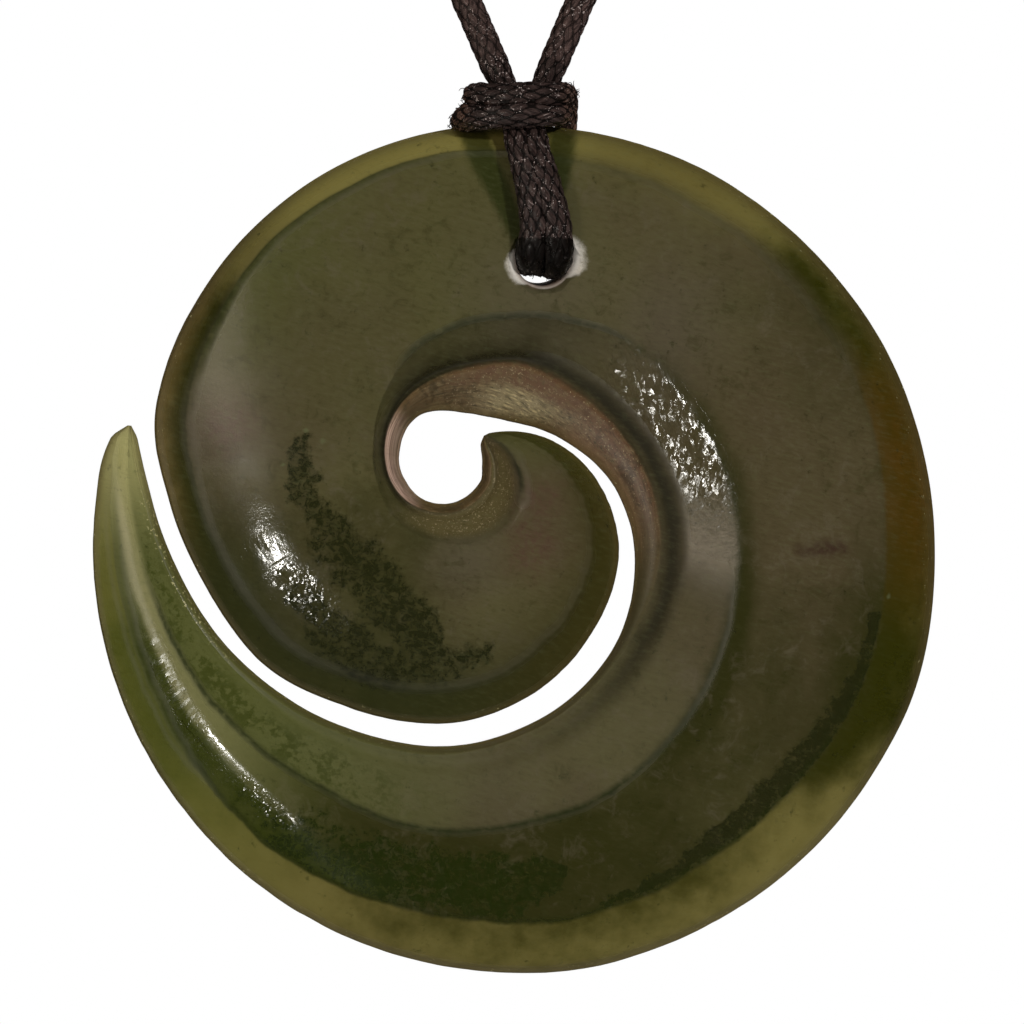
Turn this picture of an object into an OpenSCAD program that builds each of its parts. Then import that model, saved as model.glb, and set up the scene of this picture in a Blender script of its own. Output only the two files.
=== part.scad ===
// Koru pendant: one strip of green stone that curls once and a half round a small eye, hung by a
// waxed cord that is hitched through a drilled hole and goes round the neck.
// Millimetres. +X is the wearer's left, which is right in a front view, -Y is the front and +Z is up.
// The origin is where the knot in the cord touches the nape of the neck.

/* [Stone] */
// Width of the disc that the strip fills, from edge to edge
stone_w = 45; // [44:0.5:46]
// Height of the front plateau above the middle plane
front_h = 2.6; // [2.4:0.1:2.7]
// Depth of the back face behind the middle plane
back_h = 2.2; // [1.8:0.1:2.3]
// Half the height of the worn edge all round
edge_h = 0.35; // [0.2:0.05:0.45]
// Rise of the front plateau between its two creases
crown_h = 0.1; // [0:0.05:0.1]
// Width of the rounding along the inner edge of the back
back_round = 2.2; // [1:0.1:2.6]

/* [Drilled hole] */
// Diameter of the hole that the cord goes through
hole_d = 2.9; // [2.9:0.05:3.1]
// Place of the hole right of the middle of the disc
hole_x = 1.53; // [1.5:0.01:1.56]
// Place of the hole above the middle of the disc
hole_z = 15.6; // [15.55:0.01:15.65]
// Width of the chipped mouth of the hole
mouth_d = 4.1; // [3.4:0.1:4.4]
// Depth of the chipped mouth
mouth_h = 0.5; // [0.3:0.05:0.6]

/* [Cord] */
// Diameter of the braided cord
cord_d = 1.56; // [1.5:0.02:1.6]
// Number of flat sides that the cord is swept with
cord_sides = 8; // [8:1:12]
// Number of straight pieces between two points of the route round the neck
neck_steps = 2; // [1:1:3]

/* [Knot at the nape] */
// Length of the knot along the cord
knot_l = 9; // [6:0.5:10]
// Diameter of the knot
knot_d = 4; // [3.6:0.1:4.4]
// Radius of the rounding at the ends of the knot
knot_round = 0.9; // [0.5:0.1:1]
// Gap between the knot and the cord inside it
knot_gap = 0.1; // [0.06:0.02:0.2]

/* [Wearing] */
// Height of the nape above the middle of the disc
drop = 212; // [210:1:214]
// Distance of the stone in front of the nape
reach = 102; // [100:1:104]

/* [Detail] */
// Angle between two sections of the stone
turn_step = 5; // [4:1:10]

/* [Hidden] */

// Middle of the eye from the middle of the disc
eye = [-4.04, 4.95];
// Disc width that the section table is written for
table_w = 45;
scale_k = stone_w / table_w;

// Columns of the section table
TURN = 0;      // angle round the eye, from the tip of the tail to the tip of the hook
INNER = 1;     // radius of the edge on the side of the eye
STEP = 2;      // radius of the top of the wall that rises from that edge
CREASE = 3;    // radius of the crease where the scooped channel meets the plateau
BEVEL = 4;     // radius where the plateau ends and the outer bevel starts
OUTER = 5;     // radius of the outer edge
STEP_H = 6;    // height at STEP, as a share of front_h
TOP_H = 7;     // height of the plateau, as a share of front_h

SECTIONS = [
    [174.0, 16.70, 16.75, 16.80, 16.85, 16.90, 0.16, 0.20],
    [176.4, 16.30, 16.60, 16.80, 17.40, 17.75, 0.20, 0.30],
    [190.0, 15.60, 15.95, 16.80, 17.90, 18.90, 0.27, 0.48],
    [210.0, 15.30, 15.70, 17.20, 19.10, 20.75, 0.32, 0.62],
    [230.0, 15.30, 15.70, 18.00, 21.00, 22.95, 0.36, 0.76],
    [250.0, 15.35, 15.80, 18.80, 23.10, 25.30, 0.40, 0.87],
    [270.0, 15.50, 16.00, 20.00, 24.50, 27.30, 0.43, 0.94],
    [290.0, 15.05, 15.50, 20.20, 25.80, 28.75, 0.46, 0.98],
    [310.0, 14.00, 14.50, 19.60, 25.90, 29.10, 0.48, 1.00],
    [330.0, 12.10, 13.40, 17.90, 25.70, 28.65, 0.48, 1.00],
    [350.0, 9.60, 11.70, 16.20, 24.20, 27.05, 0.46, 1.00],
    [370.0, 6.45, 9.60, 13.90, 22.70, 25.10, 0.44, 1.00],
    [390.0, 4.05, 7.80, 12.10, 20.80, 22.85, 0.43, 1.00],
    [410.0, 3.05, 6.60, 9.80, 18.80, 20.80, 0.45, 1.00],
    [430.0, 2.65, 5.20, 8.00, 17.30, 18.95, 0.48, 1.00],
    [450.0, 2.55, 4.40, 6.70, 16.25, 17.65, 0.52, 1.00],
    [470.0, 2.55, 3.90, 5.60, 15.30, 16.65, 0.58, 1.00],
    [490.0, 2.45, 3.50, 4.60, 14.70, 15.95, 0.62, 1.00],
    [510.0, 2.30, 3.20, 4.00, 14.00, 15.60, 0.64, 1.00],
    [530.0, 2.20, 3.00, 3.65, 13.00, 15.55, 0.64, 1.00],
    [550.0, 2.20, 2.90, 3.60, 11.90, 14.75, 0.64, 1.00],
    [570.0, 2.20, 2.90, 3.70, 11.30, 14.40, 0.62, 1.00],
    [590.0, 2.30, 2.90, 4.00, 11.20, 14.60, 0.60, 1.00],
    [610.0, 2.40, 2.90, 4.25, 10.90, 14.30, 0.57, 1.00],
    [630.0, 2.45, 2.95, 4.55, 10.70, 14.30, 0.53, 1.00],
    [650.0, 2.50, 3.00, 4.90, 10.30, 13.70, 0.48, 1.00],
    [670.0, 2.50, 3.00, 5.15, 9.60, 12.55, 0.44, 1.00],
    [690.0, 2.50, 3.00, 4.95, 8.60, 11.10, 0.40, 0.98],
    [710.0, 2.30, 2.80, 4.40, 7.00, 8.80, 0.36, 0.92],
    [730.0, 2.25, 2.60, 3.60, 4.90, 5.95, 0.32, 0.75],
    [738.0, 2.30, 2.55, 3.20, 3.95, 4.60, 0.28, 0.60],
    [743.0, 2.45, 2.60, 2.95, 3.35, 3.70, 0.22, 0.42],
    [747.0, 2.65, 2.70, 2.80, 2.90, 2.98, 0.16, 0.20],
];
LAST = len(SECTIONS) - 1;

// Heights of the two creases that bound the plateau, as shares of its own height
crease_share = 0.97;
brow_share = 0.96;
// Most of the strip's width that the rounding of the back may take
hem_share = 0.3;

function mix(a, b, share) = a + (b - a) * share;

// The row of the table that turn angle t follows
function row_at(t, i = 0) = i >= LAST - 1 || t < SECTIONS[i + 1][TURN] ? i : row_at(t, i + 1);
// The straight slope of a column between row i and the next
function rise(i, column) = (SECTIONS[i + 1][column] - SECTIONS[i][column])
    / (SECTIONS[i + 1][TURN] - SECTIONS[i][TURN]);
// The slope of a column at row i, which never makes the curve swing past its rows
function slope(i, column) = i == 0 ? rise(0, column)
    : i == LAST ? rise(LAST - 1, column)
    : let (before = rise(i - 1, column), after = rise(i, column))
    before * after <= 0 ? 0 : 2 * before * after / (before + after);
// A column of the table at turn angle t, on a smooth curve through the rows
function at(t, column) = let (
        i = row_at(t),
        a = SECTIONS[i],
        b = SECTIONS[i + 1],
        span = b[TURN] - a[TURN],
        u = (t - a[TURN]) / span
    )
    a[column] * (1 + 2 * u) * (1 - u) * (1 - u) + b[column] * u * u * (3 - 2 * u)
    + span * u * (1 - u) * (slope(i, column) * (1 - u) - slope(i + 1, column) * u);

// One section of the stone as [radius, height], along the front from the eye and back behind it
function section(t) = let (
        inner = at(t, INNER),
        wall = at(t, STEP),
        crease = at(t, CREASE),
        bevel = at(t, BEVEL),
        outer = at(t, OUTER),
        top = front_h * at(t, TOP_H),
        low = front_h * at(t, STEP_H),
        back = back_h * at(t, TOP_H),
        edge = min(edge_h, top / 2),
        brow = brow_share * top,
        slant = outer - bevel,
        hem = min(back_round, hem_share * (outer - inner))
    ) [
        [inner, edge],
        [mix(inner, wall, 0.4), mix(edge, low, 0.7)],
        [wall, low],
        [mix(wall, crease, 0.35), mix(low, top, 0.22)],
        [mix(wall, crease, 0.75), mix(low, top, 0.60)],
        [crease, crease_share * top],
        [mix(crease, bevel, 0.2), top],
        [mix(crease, bevel, 0.55), top + crown_h * at(t, TOP_H)],
        [bevel, brow],
        [mix(bevel, outer, 0.5), mix(brow, edge, 0.32)],
        [mix(bevel, outer, 0.85), mix(brow, edge, 0.66)],
        [outer, edge],
        [outer, -edge],
        [outer - 0.15 * slant, -mix(edge, back, 0.34)],
        [outer - 0.5 * slant, -mix(edge, back, 0.72)],
        [outer - 1.05 * slant, -back],
        [inner + hem, -back],
        [inner + 0.45 * hem, -mix(edge, back, 0.72)],
        [inner + 0.1 * hem, -mix(edge, back, 0.34)],
        [inner, -edge],
    ];

// Turn angles of the sections, closer at the two tips
first_whole = 180;
last_whole = 740;
TURNS = concat(
    [174, 175.2, 176.4],
    [for (t = [first_whole:turn_step:last_whole]) t],
    [743, 745, 747]
);
RINGS = [for (t = TURNS) section(t)];

// A point of a section in the stone's own place, with the middle of the disc at zero
function placed(t, point) = scale_k * [
    eye[0] + point[0] * cos(t),
    -point[1],
    eye[1] + point[0] * sin(t)
];

// Faces between rings of equal count, and the two ends
function skin_faces(rings, sides) = concat(
    [for (i = [0:rings - 2], k = [0:sides - 1]) [
        i * sides + k, (i + 1) * sides + (k + 1) % sides, i * sides + (k + 1) % sides
    ]],
    [for (i = [0:rings - 2], k = [0:sides - 1]) [
        i * sides + k, (i + 1) * sides + k, (i + 1) * sides + (k + 1) % sides
    ]],
    [[for (k = [0:sides - 1]) k]],
    [[for (k = [sides - 1:-1:0]) (rings - 1) * sides + k]]
);

// Direction helpers for the swept cord
function unit(v) = v / norm(v);
function ahead(path, i) = unit(path[min(i + 1, len(path) - 1)] - path[max(i - 1, 0)]);
function squared(side, way) = unit(side - (side * way) * way);

// A solid cord along path, with its radius at each point
module cord_tube(path, radii) {
    count = len(path);
    ways = [for (i = [0:count - 1]) ahead(path, i)];
    start = squared([0, 1, 0], ways[0]);
    lefts = [
        for (i = 0, side = start; i < count; i = i + 1, side = squared(side, ways[min(i, count - 1)])) side
    ];
    points = [for (i = [0:count - 1], k = [0:cord_sides - 1])
        let (a = 360 * k / cord_sides)
        path[i] + radii[i] * (cos(a) * lefts[i] + sin(a) * cross(ways[i], lefts[i]))];
    polyhedron(points = points, faces = skin_faces(count, cord_sides));
}

// Middle of the disc in the part's frame
disc = [0, -reach, -drop];

// Where the cord leaves the hitch, and where its straight run to the side of the neck ends
left_leave = disc + [-1.14, -0.5, 26.2];
right_leave = disc + [2.09, -0.5, 26.2];
left_side = [-52.6, -68.6, -66];
right_side = [52.6, -68.6, -66];
// Length of straight cord just above the hitch
lead = 1.1;

// Route of the hitch from the middle of the disc, and the cord's radius, which the knot squeezes
HITCH = [
    [-0.38, -0.90, 24.20, 0.58], [-0.20, -1.35, 23.30, 0.56], [-0.08, -2.36, 22.55, 0.58],
    [0.10, -3.18, 21.60, 0.58], [0.45, -3.40, 20.00, 0.60], [0.83, -3.40, 17.50, 0.60],
    [0.90, -3.00, 16.45, 0.60], [0.88, -2.10, 15.90, 0.60], [0.90, 1.40, 15.85, 0.60],
    [0.78, 2.55, 16.35, 0.60], [0.35, 3.00, 17.50, 0.60], [-1.50, 3.00, 20.70, 0.60],
    [-2.40, 2.75, 22.00, 0.58], [-2.75, 1.70, 23.05, 0.58], [-2.85, 0.10, 23.60, 0.58],
    [-2.60, -1.70, 23.45, 0.58], [-1.50, -3.00, 23.40, 0.58], [0.40, -3.46, 23.42, 0.58],
    [1.90, -3.00, 23.40, 0.58], [2.50, -1.90, 23.40, 0.56], [2.50, -0.70, 23.45, 0.56],
    [1.80, 0.30, 23.70, 0.56], [0.50, 0.55, 24.10, 0.56], [-1.00, 0.40, 24.60, 0.56],
    [-1.95, -0.40, 24.85, 0.56], [-2.00, -1.40, 24.80, 0.56], [-1.10, -2.30, 24.65, 0.58],
    [0.40, -2.60, 24.60, 0.58], [1.90, -2.30, 24.65, 0.58], [2.50, -1.10, 24.70, 0.58],
    [2.75, 0.30, 24.70, 0.58], [2.80, 1.40, 24.05, 0.58], [2.75, 2.10, 22.95, 0.58],
    [2.70, 2.70, 21.70, 0.60], [2.45, 3.00, 20.30, 0.60], [2.20, 2.95, 17.30, 0.60],
    [2.17, 2.45, 16.10, 0.60], [2.16, 1.40, 15.60, 0.60], [2.16, -2.10, 15.60, 0.60],
    [2.20, -3.00, 16.15, 0.60], [2.15, -3.40, 17.30, 0.60], [1.80, -3.40, 20.00, 0.60],
    [1.45, -3.18, 21.60, 0.58], [1.22, -2.36, 22.55, 0.58], [1.12, -1.35, 23.30, 0.56],
    [1.25, -0.90, 24.20, 0.58],
];
// Radius of the cord a little above the hitch, where the knot starts to squeeze it
pinched_r = 0.72;

// Height of the cord's middle behind the point that rests on the nape
nape_y = knot_d / 2;
// Route of one side of the neck, from the nape to the straight run
NECK_SIDE = [
    [6, nape_y, 0], [15, 1.5, -0.2], [28, -2.4, -1.4], [41, -10.3, -4.8], [51.5, -21.5, -10.8],
    [58, -35, -20], [60, -48.5, -32.5], [57.8, -60.5, -48],
];
// Share of the straight run where its middle ring is
half_way = 0.5;

// A point on a smooth curve from b to c, with a before them and d after them
function curved(a, b, c, d, u) = 0.5 * (
    2 * b + (c - a) * u + (2 * a - 5 * b + 4 * c - d) * u * u + (3 * b - a - 3 * c + d) * u * u * u
);
function smoothed(path, steps) = concat(
    [for (i = [0:len(path) - 2], k = [0:steps - 1])
        curved(path[max(i - 1, 0)], path[i], path[i + 1], path[min(i + 2, len(path) - 1)], k / steps)],
    [path[len(path) - 1]]
);
function mirrored(p) = [-p[0], p[1], p[2]];
function reversed(list) = [for (i = [len(list) - 1:-1:0]) list[i]];

module koru_stone() {
    color("darkolivegreen")
        translate(disc)
        difference() {
            polyhedron(
                points = [for (i = [0:len(TURNS) - 1], p = RINGS[i]) placed(TURNS[i], p)],
                faces = skin_faces(len(TURNS), len(RINGS[0]))
            );
            translate([hole_x, 0, hole_z]) rotate([90, 0, 0]) {
                cylinder(d = hole_d, h = 4 * front_h, center = true, $fn = 64);
                translate([0, 0, front_h + crown_h - mouth_h])
                    cylinder(d1 = hole_d, d2 = mouth_d + (mouth_d - hole_d), h = 2 * mouth_h, $fn = 64);
                translate([0, 0, -back_h - mouth_h])
                    cylinder(d1 = mouth_d + (mouth_d - hole_d), d2 = hole_d, h = 2 * mouth_h, $fn = 64);
            }
        }
}

module hitch_cord() {
    left_lead = left_leave + lead * unit(left_leave - left_side);
    right_lead = right_leave + lead * unit(right_leave - right_side);
    path = concat(
        [left_leave, left_lead],
        [for (p = HITCH) disc + [p[0], p[1], p[2]]],
        [right_lead, right_leave]
    );
    radii = concat([cord_d / 2, pinched_r], [for (p = HITCH) p[3]], [pinched_r, cord_d / 2]);
    color("#2d1e1e") cord_tube(path, radii);
}

module neck_cord() {
    round_neck = smoothed(concat(
        [left_side], [for (p = reversed(NECK_SIDE)) mirrored(p)], NECK_SIDE, [right_side]
    ), neck_steps);
    path = concat(
        [left_leave, mix(left_leave, left_side, half_way)],
        round_neck,
        [mix(right_side, right_leave, half_way), right_leave]
    );
    color("#3a2828") cord_tube(path, [for (p = path) cord_d / 2]);
}

module nape_knot() {
    bore = cord_d / 2 + knot_gap;
    // Where a 45 degree line touches the rounding
    cut = knot_round * (1 - cos(45));
    color("#2d1e1e")
        translate([0, nape_y, 0])
        rotate([0, 90, 0])
        rotate_extrude($fn = 48)
        polygon([
            [bore, -knot_l / 2],
            [knot_d / 2 - knot_round, -knot_l / 2],
            [knot_d / 2 - cut, -knot_l / 2 + cut],
            [knot_d / 2, -knot_l / 2 + knot_round],
            [knot_d / 2, knot_l / 2 - knot_round],
            [knot_d / 2 - cut, knot_l / 2 - cut],
            [knot_d / 2 - knot_round, knot_l / 2],
            [bore, knot_l / 2],
        ]);
}

koru_stone();
hitch_cord();
neck_cord();
nape_knot();
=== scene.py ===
"""Koru pendant: a carved green stone on a braided cord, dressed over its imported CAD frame."""

import math
from types import SimpleNamespace

import bmesh
import bpy
import numpy as np
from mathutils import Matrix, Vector, noise


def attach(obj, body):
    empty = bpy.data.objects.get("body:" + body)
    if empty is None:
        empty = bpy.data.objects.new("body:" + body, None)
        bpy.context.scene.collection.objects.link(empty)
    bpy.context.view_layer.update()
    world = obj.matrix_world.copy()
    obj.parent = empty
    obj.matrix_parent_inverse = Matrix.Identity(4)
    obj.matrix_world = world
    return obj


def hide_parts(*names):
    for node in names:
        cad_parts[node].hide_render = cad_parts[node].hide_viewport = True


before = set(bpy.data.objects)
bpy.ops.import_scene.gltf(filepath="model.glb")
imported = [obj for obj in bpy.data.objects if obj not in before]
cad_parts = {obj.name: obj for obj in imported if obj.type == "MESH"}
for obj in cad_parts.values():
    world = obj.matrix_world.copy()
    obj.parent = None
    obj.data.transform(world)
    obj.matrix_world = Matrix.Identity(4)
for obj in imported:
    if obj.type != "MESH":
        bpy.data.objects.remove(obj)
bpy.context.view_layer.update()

MM = 0.001
DISC = np.array([0.0, -102.0, -212.0])  # middle of the disc in the part's frame, in mm
STONE_AT = Vector(DISC * MM)
EYE = (-4.04, 4.95)  # middle of the eye from the middle of the disc


# Camera, light and floor
VIEW_WIDTH = 55.12  # mm of the object that the picture spans
VIEW_MIDDLE = (-0.16, 2.05)  # x and z of the picture's middle, in mm from the middle of the disc
CAMERA_AWAY = 1200.0  # mm in front of the stone
SENSOR = 36.0
FLOOR_Z, FLOOR_RADIUS = -0.42, 0.55  # in metres


def set_camera():
    data = bpy.data.cameras.new("camera")
    data.sensor_width = SENSOR
    data.lens = SENSOR * CAMERA_AWAY / VIEW_WIDTH
    data.clip_start, data.clip_end = 0.05, 20.0
    camera = bpy.data.objects.new("camera", data)
    bpy.context.collection.objects.link(camera)
    camera.location = (VIEW_MIDDLE[0] * MM, (DISC[1] - CAMERA_AWAY) * MM, (DISC[2] + VIEW_MIDDLE[1]) * MM)
    camera.rotation_euler = (math.radians(90), 0, 0)
    bpy.context.scene.camera = camera


def add_lamp(name, side, up, away, size, power, mirrored=False, tint=(1, 1, 1)):
    """A soft lamp aimed at the stone, side degrees right of the camera and up degrees above it.

    Only a mirrored lamp shows as a highlight. The others are the plain even light of the room.
    """
    data = bpy.data.lights.new(name, "AREA")
    data.shape = "ELLIPSE"
    data.size, data.size_y = size
    data.energy = power
    data.color = tint
    lamp = bpy.data.objects.new(name, data)
    bpy.context.collection.objects.link(lamp)
    a, e = math.radians(side), math.radians(up)
    where = STONE_AT + away * Vector((math.sin(a) * math.cos(e), -math.cos(a) * math.cos(e), math.sin(e)))
    lamp.location = where
    lamp.rotation_euler = (STONE_AT - where).to_track_quat("-Z", "Y").to_euler()
    lamp.visible_glossy = mirrored


def set_world(seen, light, mirrored):
    """White to the camera, and a dimmer light for the object, dimmer still in its reflections."""
    world = bpy.data.worlds.new("studio")
    bpy.context.scene.world = world
    world.use_nodes = True
    nodes, links = world.node_tree.nodes, world.node_tree.links
    nodes.clear()
    out = nodes.new("ShaderNodeOutputWorld")
    path = nodes.new("ShaderNodeLightPath")
    last = None
    for strength, ray in ((light, None), (mirrored, "Is Glossy Ray"), (seen, "Is Camera Ray")):
        back = nodes.new("ShaderNodeBackground")
        back.inputs["Color"].default_value = (1, 1, 1, 1)
        back.inputs["Strength"].default_value = strength
        if last is None:
            last = back.outputs[0]
            continue
        both = nodes.new("ShaderNodeMixShader")
        for socket, fed in zip(both.inputs, (path.outputs[ray], last, back.outputs[0])):
            links.new(fed, socket)
        last = both.outputs[0]
    links.new(last, out.inputs["Surface"])


def set_floor():
    bpy.ops.mesh.primitive_circle_add(
        vertices=96, radius=FLOOR_RADIUS, fill_type="NGON", location=(0, -0.05, FLOOR_Z)
    )
    floor = bpy.context.object
    floor.name = "studio_floor"
    mat = bpy.data.materials.new("floor_pale")
    mat.use_nodes = True
    shader = mat.node_tree.nodes["Principled BSDF"]
    shader.inputs["Base Color"].default_value = (0.86, 0.86, 0.85, 1)
    shader.inputs["Roughness"].default_value = 0.7
    floor.data.materials.append(mat)
    floor.visible_glossy = False


set_camera()
view = bpy.context.scene.view_settings
view.view_transform, view.look = "Standard", "None"
set_world(seen=1.0, light=0.08, mirrored=0.02)
set_floor()
add_lamp("key_left", -28, -14, 0.5, (0.0235, 0.0235), 0.25, mirrored=True, tint=(1, 0.97, 0.9))
add_lamp("soft_left", -37, 8, 0.6, (0.29, 0.21), 0.42, mirrored=True, tint=(1, 0.85, 0.68))
add_lamp("right_front", 32, 18, 0.8, (0.09, 0.07), 3.1)
add_lamp("high_front", -8, 60, 0.8, (0.30, 0.16), 0.8)
add_lamp("low_front", -6, -50, 0.8, (0.30, 0.20), 0.5)
add_lamp("back_left", -168, 25, 0.7, (0.3, 0.3), 2.6)
add_lamp("back_right", 165, 15, 0.7, (0.3, 0.3), 2.6)


# Small helpers
def mix(a, b, share):
    return a + (b - a) * share


def smooth(low, high, value):
    """0 below low, 1 above high and smooth between."""
    u = np.clip((value - low) / (high - low), 0, 1)
    return u * u * (3 - 2 * u)


def window(value, low, high, soft):
    """1 between low and high, fading over soft at both ends."""
    return smooth(low - soft, low + soft, value) * (1 - smooth(high - soft, high + soft, value))


def near(value, width):
    """1 where the value is 0, fading over about width to both sides."""
    return np.exp(-((value / width) ** 2))


def noise_at(points, scale, octaves, seed):
    """Noise of about -1 to 1 at points in mm, with features of about scale mm."""
    shift = Vector((seed, 1.7 * seed, -2.3 * seed))
    return np.array([noise.fractal(Vector(p) / scale + shift, 0.9, 2.1, octaves) for p in points])


def along_noise(lengths, scale, seed):
    """Noise of about -1 to 1 along one length in mm."""
    return np.array([noise.noise(Vector((s / scale, seed, 0.5 * seed))) for s in lengths])


def add_mesh(name, points_mm, faces):
    me = bpy.data.meshes.new(name)
    me.from_pydata((np.asarray(points_mm) * MM).tolist(), [], faces)
    me.update()
    ob = bpy.data.objects.new(name, me)
    bpy.context.collection.objects.link(ob)
    return ob


def set_attributes(me, values):
    """Numbers on the mesh's points, which the materials read by name."""
    for name, value in values.items():
        layer = me.attributes.new(name, "FLOAT", "POINT")
        layer.data.foreach_set("value", np.asarray(value, dtype=np.float32))


def ring_faces(rings, sides):
    """Faces of a closed tube whose points lie in rings.

    They look inward where each ring runs counterclockwise about the way along the tube.
    """
    i, k = np.meshgrid(np.arange(rings - 1), np.arange(sides), indexing="ij")
    j = (k + 1) % sides
    quads = np.stack([i * sides + k, (i + 1) * sides + k, (i + 1) * sides + j, i * sides + j], -1)
    faces = quads.reshape(-1, 4).tolist()
    faces.append(list(range(sides)))
    faces.append([(rings - 1) * sides + n for n in range(sides - 1, -1, -1)])
    return faces


# The stone's section table: turn angle in degrees, radii of the lines from the eye in mm, shares of height
COLUMNS = ("inner", "wall", "crease", "bevel", "outer", "low", "top")
SECTIONS = np.array([
    [174.0, 16.70, 16.75, 16.80, 16.85, 16.90, 0.16, 0.20],
    [176.4, 16.30, 16.60, 16.80, 17.40, 17.75, 0.20, 0.30],
    [190.0, 15.60, 15.95, 16.80, 17.90, 18.90, 0.27, 0.48],
    [210.0, 15.30, 15.70, 17.20, 19.10, 20.75, 0.32, 0.62],
    [230.0, 15.30, 15.70, 18.00, 21.00, 22.95, 0.36, 0.76],
    [250.0, 15.35, 15.80, 18.80, 23.10, 25.30, 0.40, 0.87],
    [270.0, 15.50, 16.00, 20.00, 24.50, 27.30, 0.43, 0.94],
    [290.0, 15.05, 15.50, 20.20, 25.80, 28.75, 0.46, 0.98],
    [310.0, 14.00, 14.50, 19.60, 25.90, 29.10, 0.48, 1.00],
    [330.0, 12.10, 13.40, 17.90, 25.70, 28.65, 0.48, 1.00],
    [350.0, 9.60, 11.70, 16.20, 24.20, 27.05, 0.46, 1.00],
    [370.0, 6.45, 9.60, 13.90, 22.70, 25.10, 0.44, 1.00],
    [390.0, 4.05, 7.80, 12.10, 20.80, 22.85, 0.43, 1.00],
    [410.0, 3.05, 6.60, 9.80, 18.80, 20.80, 0.45, 1.00],
    [430.0, 2.65, 5.20, 8.00, 17.30, 18.95, 0.48, 1.00],
    [450.0, 2.55, 4.40, 6.70, 16.25, 17.65, 0.52, 1.00],
    [470.0, 2.55, 3.90, 5.60, 15.30, 16.65, 0.58, 1.00],
    [490.0, 2.45, 3.50, 4.60, 14.70, 15.95, 0.62, 1.00],
    [510.0, 2.30, 3.20, 4.00, 14.00, 15.60, 0.64, 1.00],
    [530.0, 2.20, 3.00, 3.65, 13.70, 15.55, 0.64, 1.00],
    [550.0, 2.20, 2.90, 3.60, 13.00, 14.75, 0.64, 1.00],
    [570.0, 2.20, 2.90, 3.70, 12.75, 14.40, 0.62, 1.00],
    [590.0, 2.30, 2.90, 4.00, 12.90, 14.60, 0.60, 1.00],
    [610.0, 2.40, 2.90, 4.25, 12.50, 14.30, 0.57, 1.00],
    [630.0, 2.45, 2.95, 4.55, 12.30, 14.30, 0.53, 1.00],
    [650.0, 2.50, 3.00, 4.90, 11.75, 13.70, 0.48, 1.00],
    [670.0, 2.50, 3.00, 5.15, 10.75, 12.55, 0.44, 1.00],
    [690.0, 2.50, 3.00, 4.95, 9.40, 11.10, 0.40, 0.98],
    [710.0, 2.30, 2.80, 4.40, 7.30, 8.80, 0.36, 0.92],
    [730.0, 2.25, 2.60, 3.60, 4.90, 5.95, 0.32, 0.75],
    [738.0, 2.30, 2.55, 3.20, 3.95, 4.60, 0.28, 0.60],
    [743.0, 2.45, 2.60, 2.95, 3.35, 3.70, 0.22, 0.42],
    [747.0, 2.65, 2.70, 2.80, 2.90, 2.98, 0.16, 0.20],
])
TURN_FIRST, TURN_LAST, TURN_STEP = 174.0, 747.0, 0.85
FRONT_H, BACK_H, EDGE_H, CROWN_H = 2.6, 2.2, 0.35, 0.1
BACK_ROUND, EDGE_ROUND, LIP = 2.2, 0.10, 0.12
CREASE_SHARE, BROW_SHARE = 0.97, 0.96
# How far the hand strayed when it cut each line: a seed for the noise, and a size
HAND_CUT = {"crease": (3.0, 1.0), "bevel": (5.0, 1.2), "wall": (7.0, 0.5), "outer": (11.0, 0.25),
            "inner": (13.0, 0.2)}


def table_slopes():
    """The slope of each column at each row, which never makes a curve swing past its rows."""
    t, values = SECTIONS[:, 0], SECTIONS[:, 1:]
    rise = (values[1:] - values[:-1]) / (t[1:] - t[:-1])[:, None]
    slope = np.zeros_like(values)
    slope[0], slope[-1] = rise[0], rise[-1]
    before, after = rise[:-1], rise[1:]
    both = before * after
    total = np.where(before + after == 0, 1, before + after)
    slope[1:-1] = np.where(both > 0, 2 * both / total, 0)
    return slope


SLOPES = table_slopes()


def columns_at(t):
    """Each column of the table at the turn angles t, on smooth curves through the rows."""
    t = np.clip(np.asarray(t, dtype=float), TURN_FIRST, TURN_LAST)
    rows = SECTIONS[:, 0]
    i = np.clip(np.searchsorted(rows, t, side="right") - 1, 0, len(rows) - 2)
    span = rows[i + 1] - rows[i]
    u = (t - rows[i]) / span
    out = {}
    for n, name in enumerate(COLUMNS):
        a, b = SECTIONS[i, n + 1], SECTIONS[i + 1, n + 1]
        sa, sb = SLOPES[i, n], SLOPES[i + 1, n]
        out[name] = (
            a * (1 + 2 * u) * (1 - u) ** 2 + b * u * u * (3 - 2 * u)
            + span * u * (1 - u) * (sa * (1 - u) - sb * u)
        )
    return out


def jagged(t, at_radius, seed, size):
    """How far a hand-cut line strays from its smooth course, in mm."""
    s = np.radians(t) * at_radius
    return size * (0.10 * along_noise(s, 2.4, seed) + 0.05 * along_noise(s, 0.75, seed + 9)
                   + 0.025 * along_noise(s, 0.3, seed + 17))


def columns_cut(t):
    """The columns with the small unevenness of hand work in the lines."""
    c = columns_at(t)
    ends = smooth(174, 182, t) * (1 - smooth(733, 745, t))
    for name, (seed, size) in HAND_CUT.items():
        c[name] = c[name] + jagged(t, c[name], seed, size) * ends
    return c


def rolled(t):
    """How much the plateau rolls over towards its outer edge, as the fall for each mm of width."""
    return 0.21 * smooth(474, 548, t) * (1 - smooth(717, 749, t))


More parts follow.
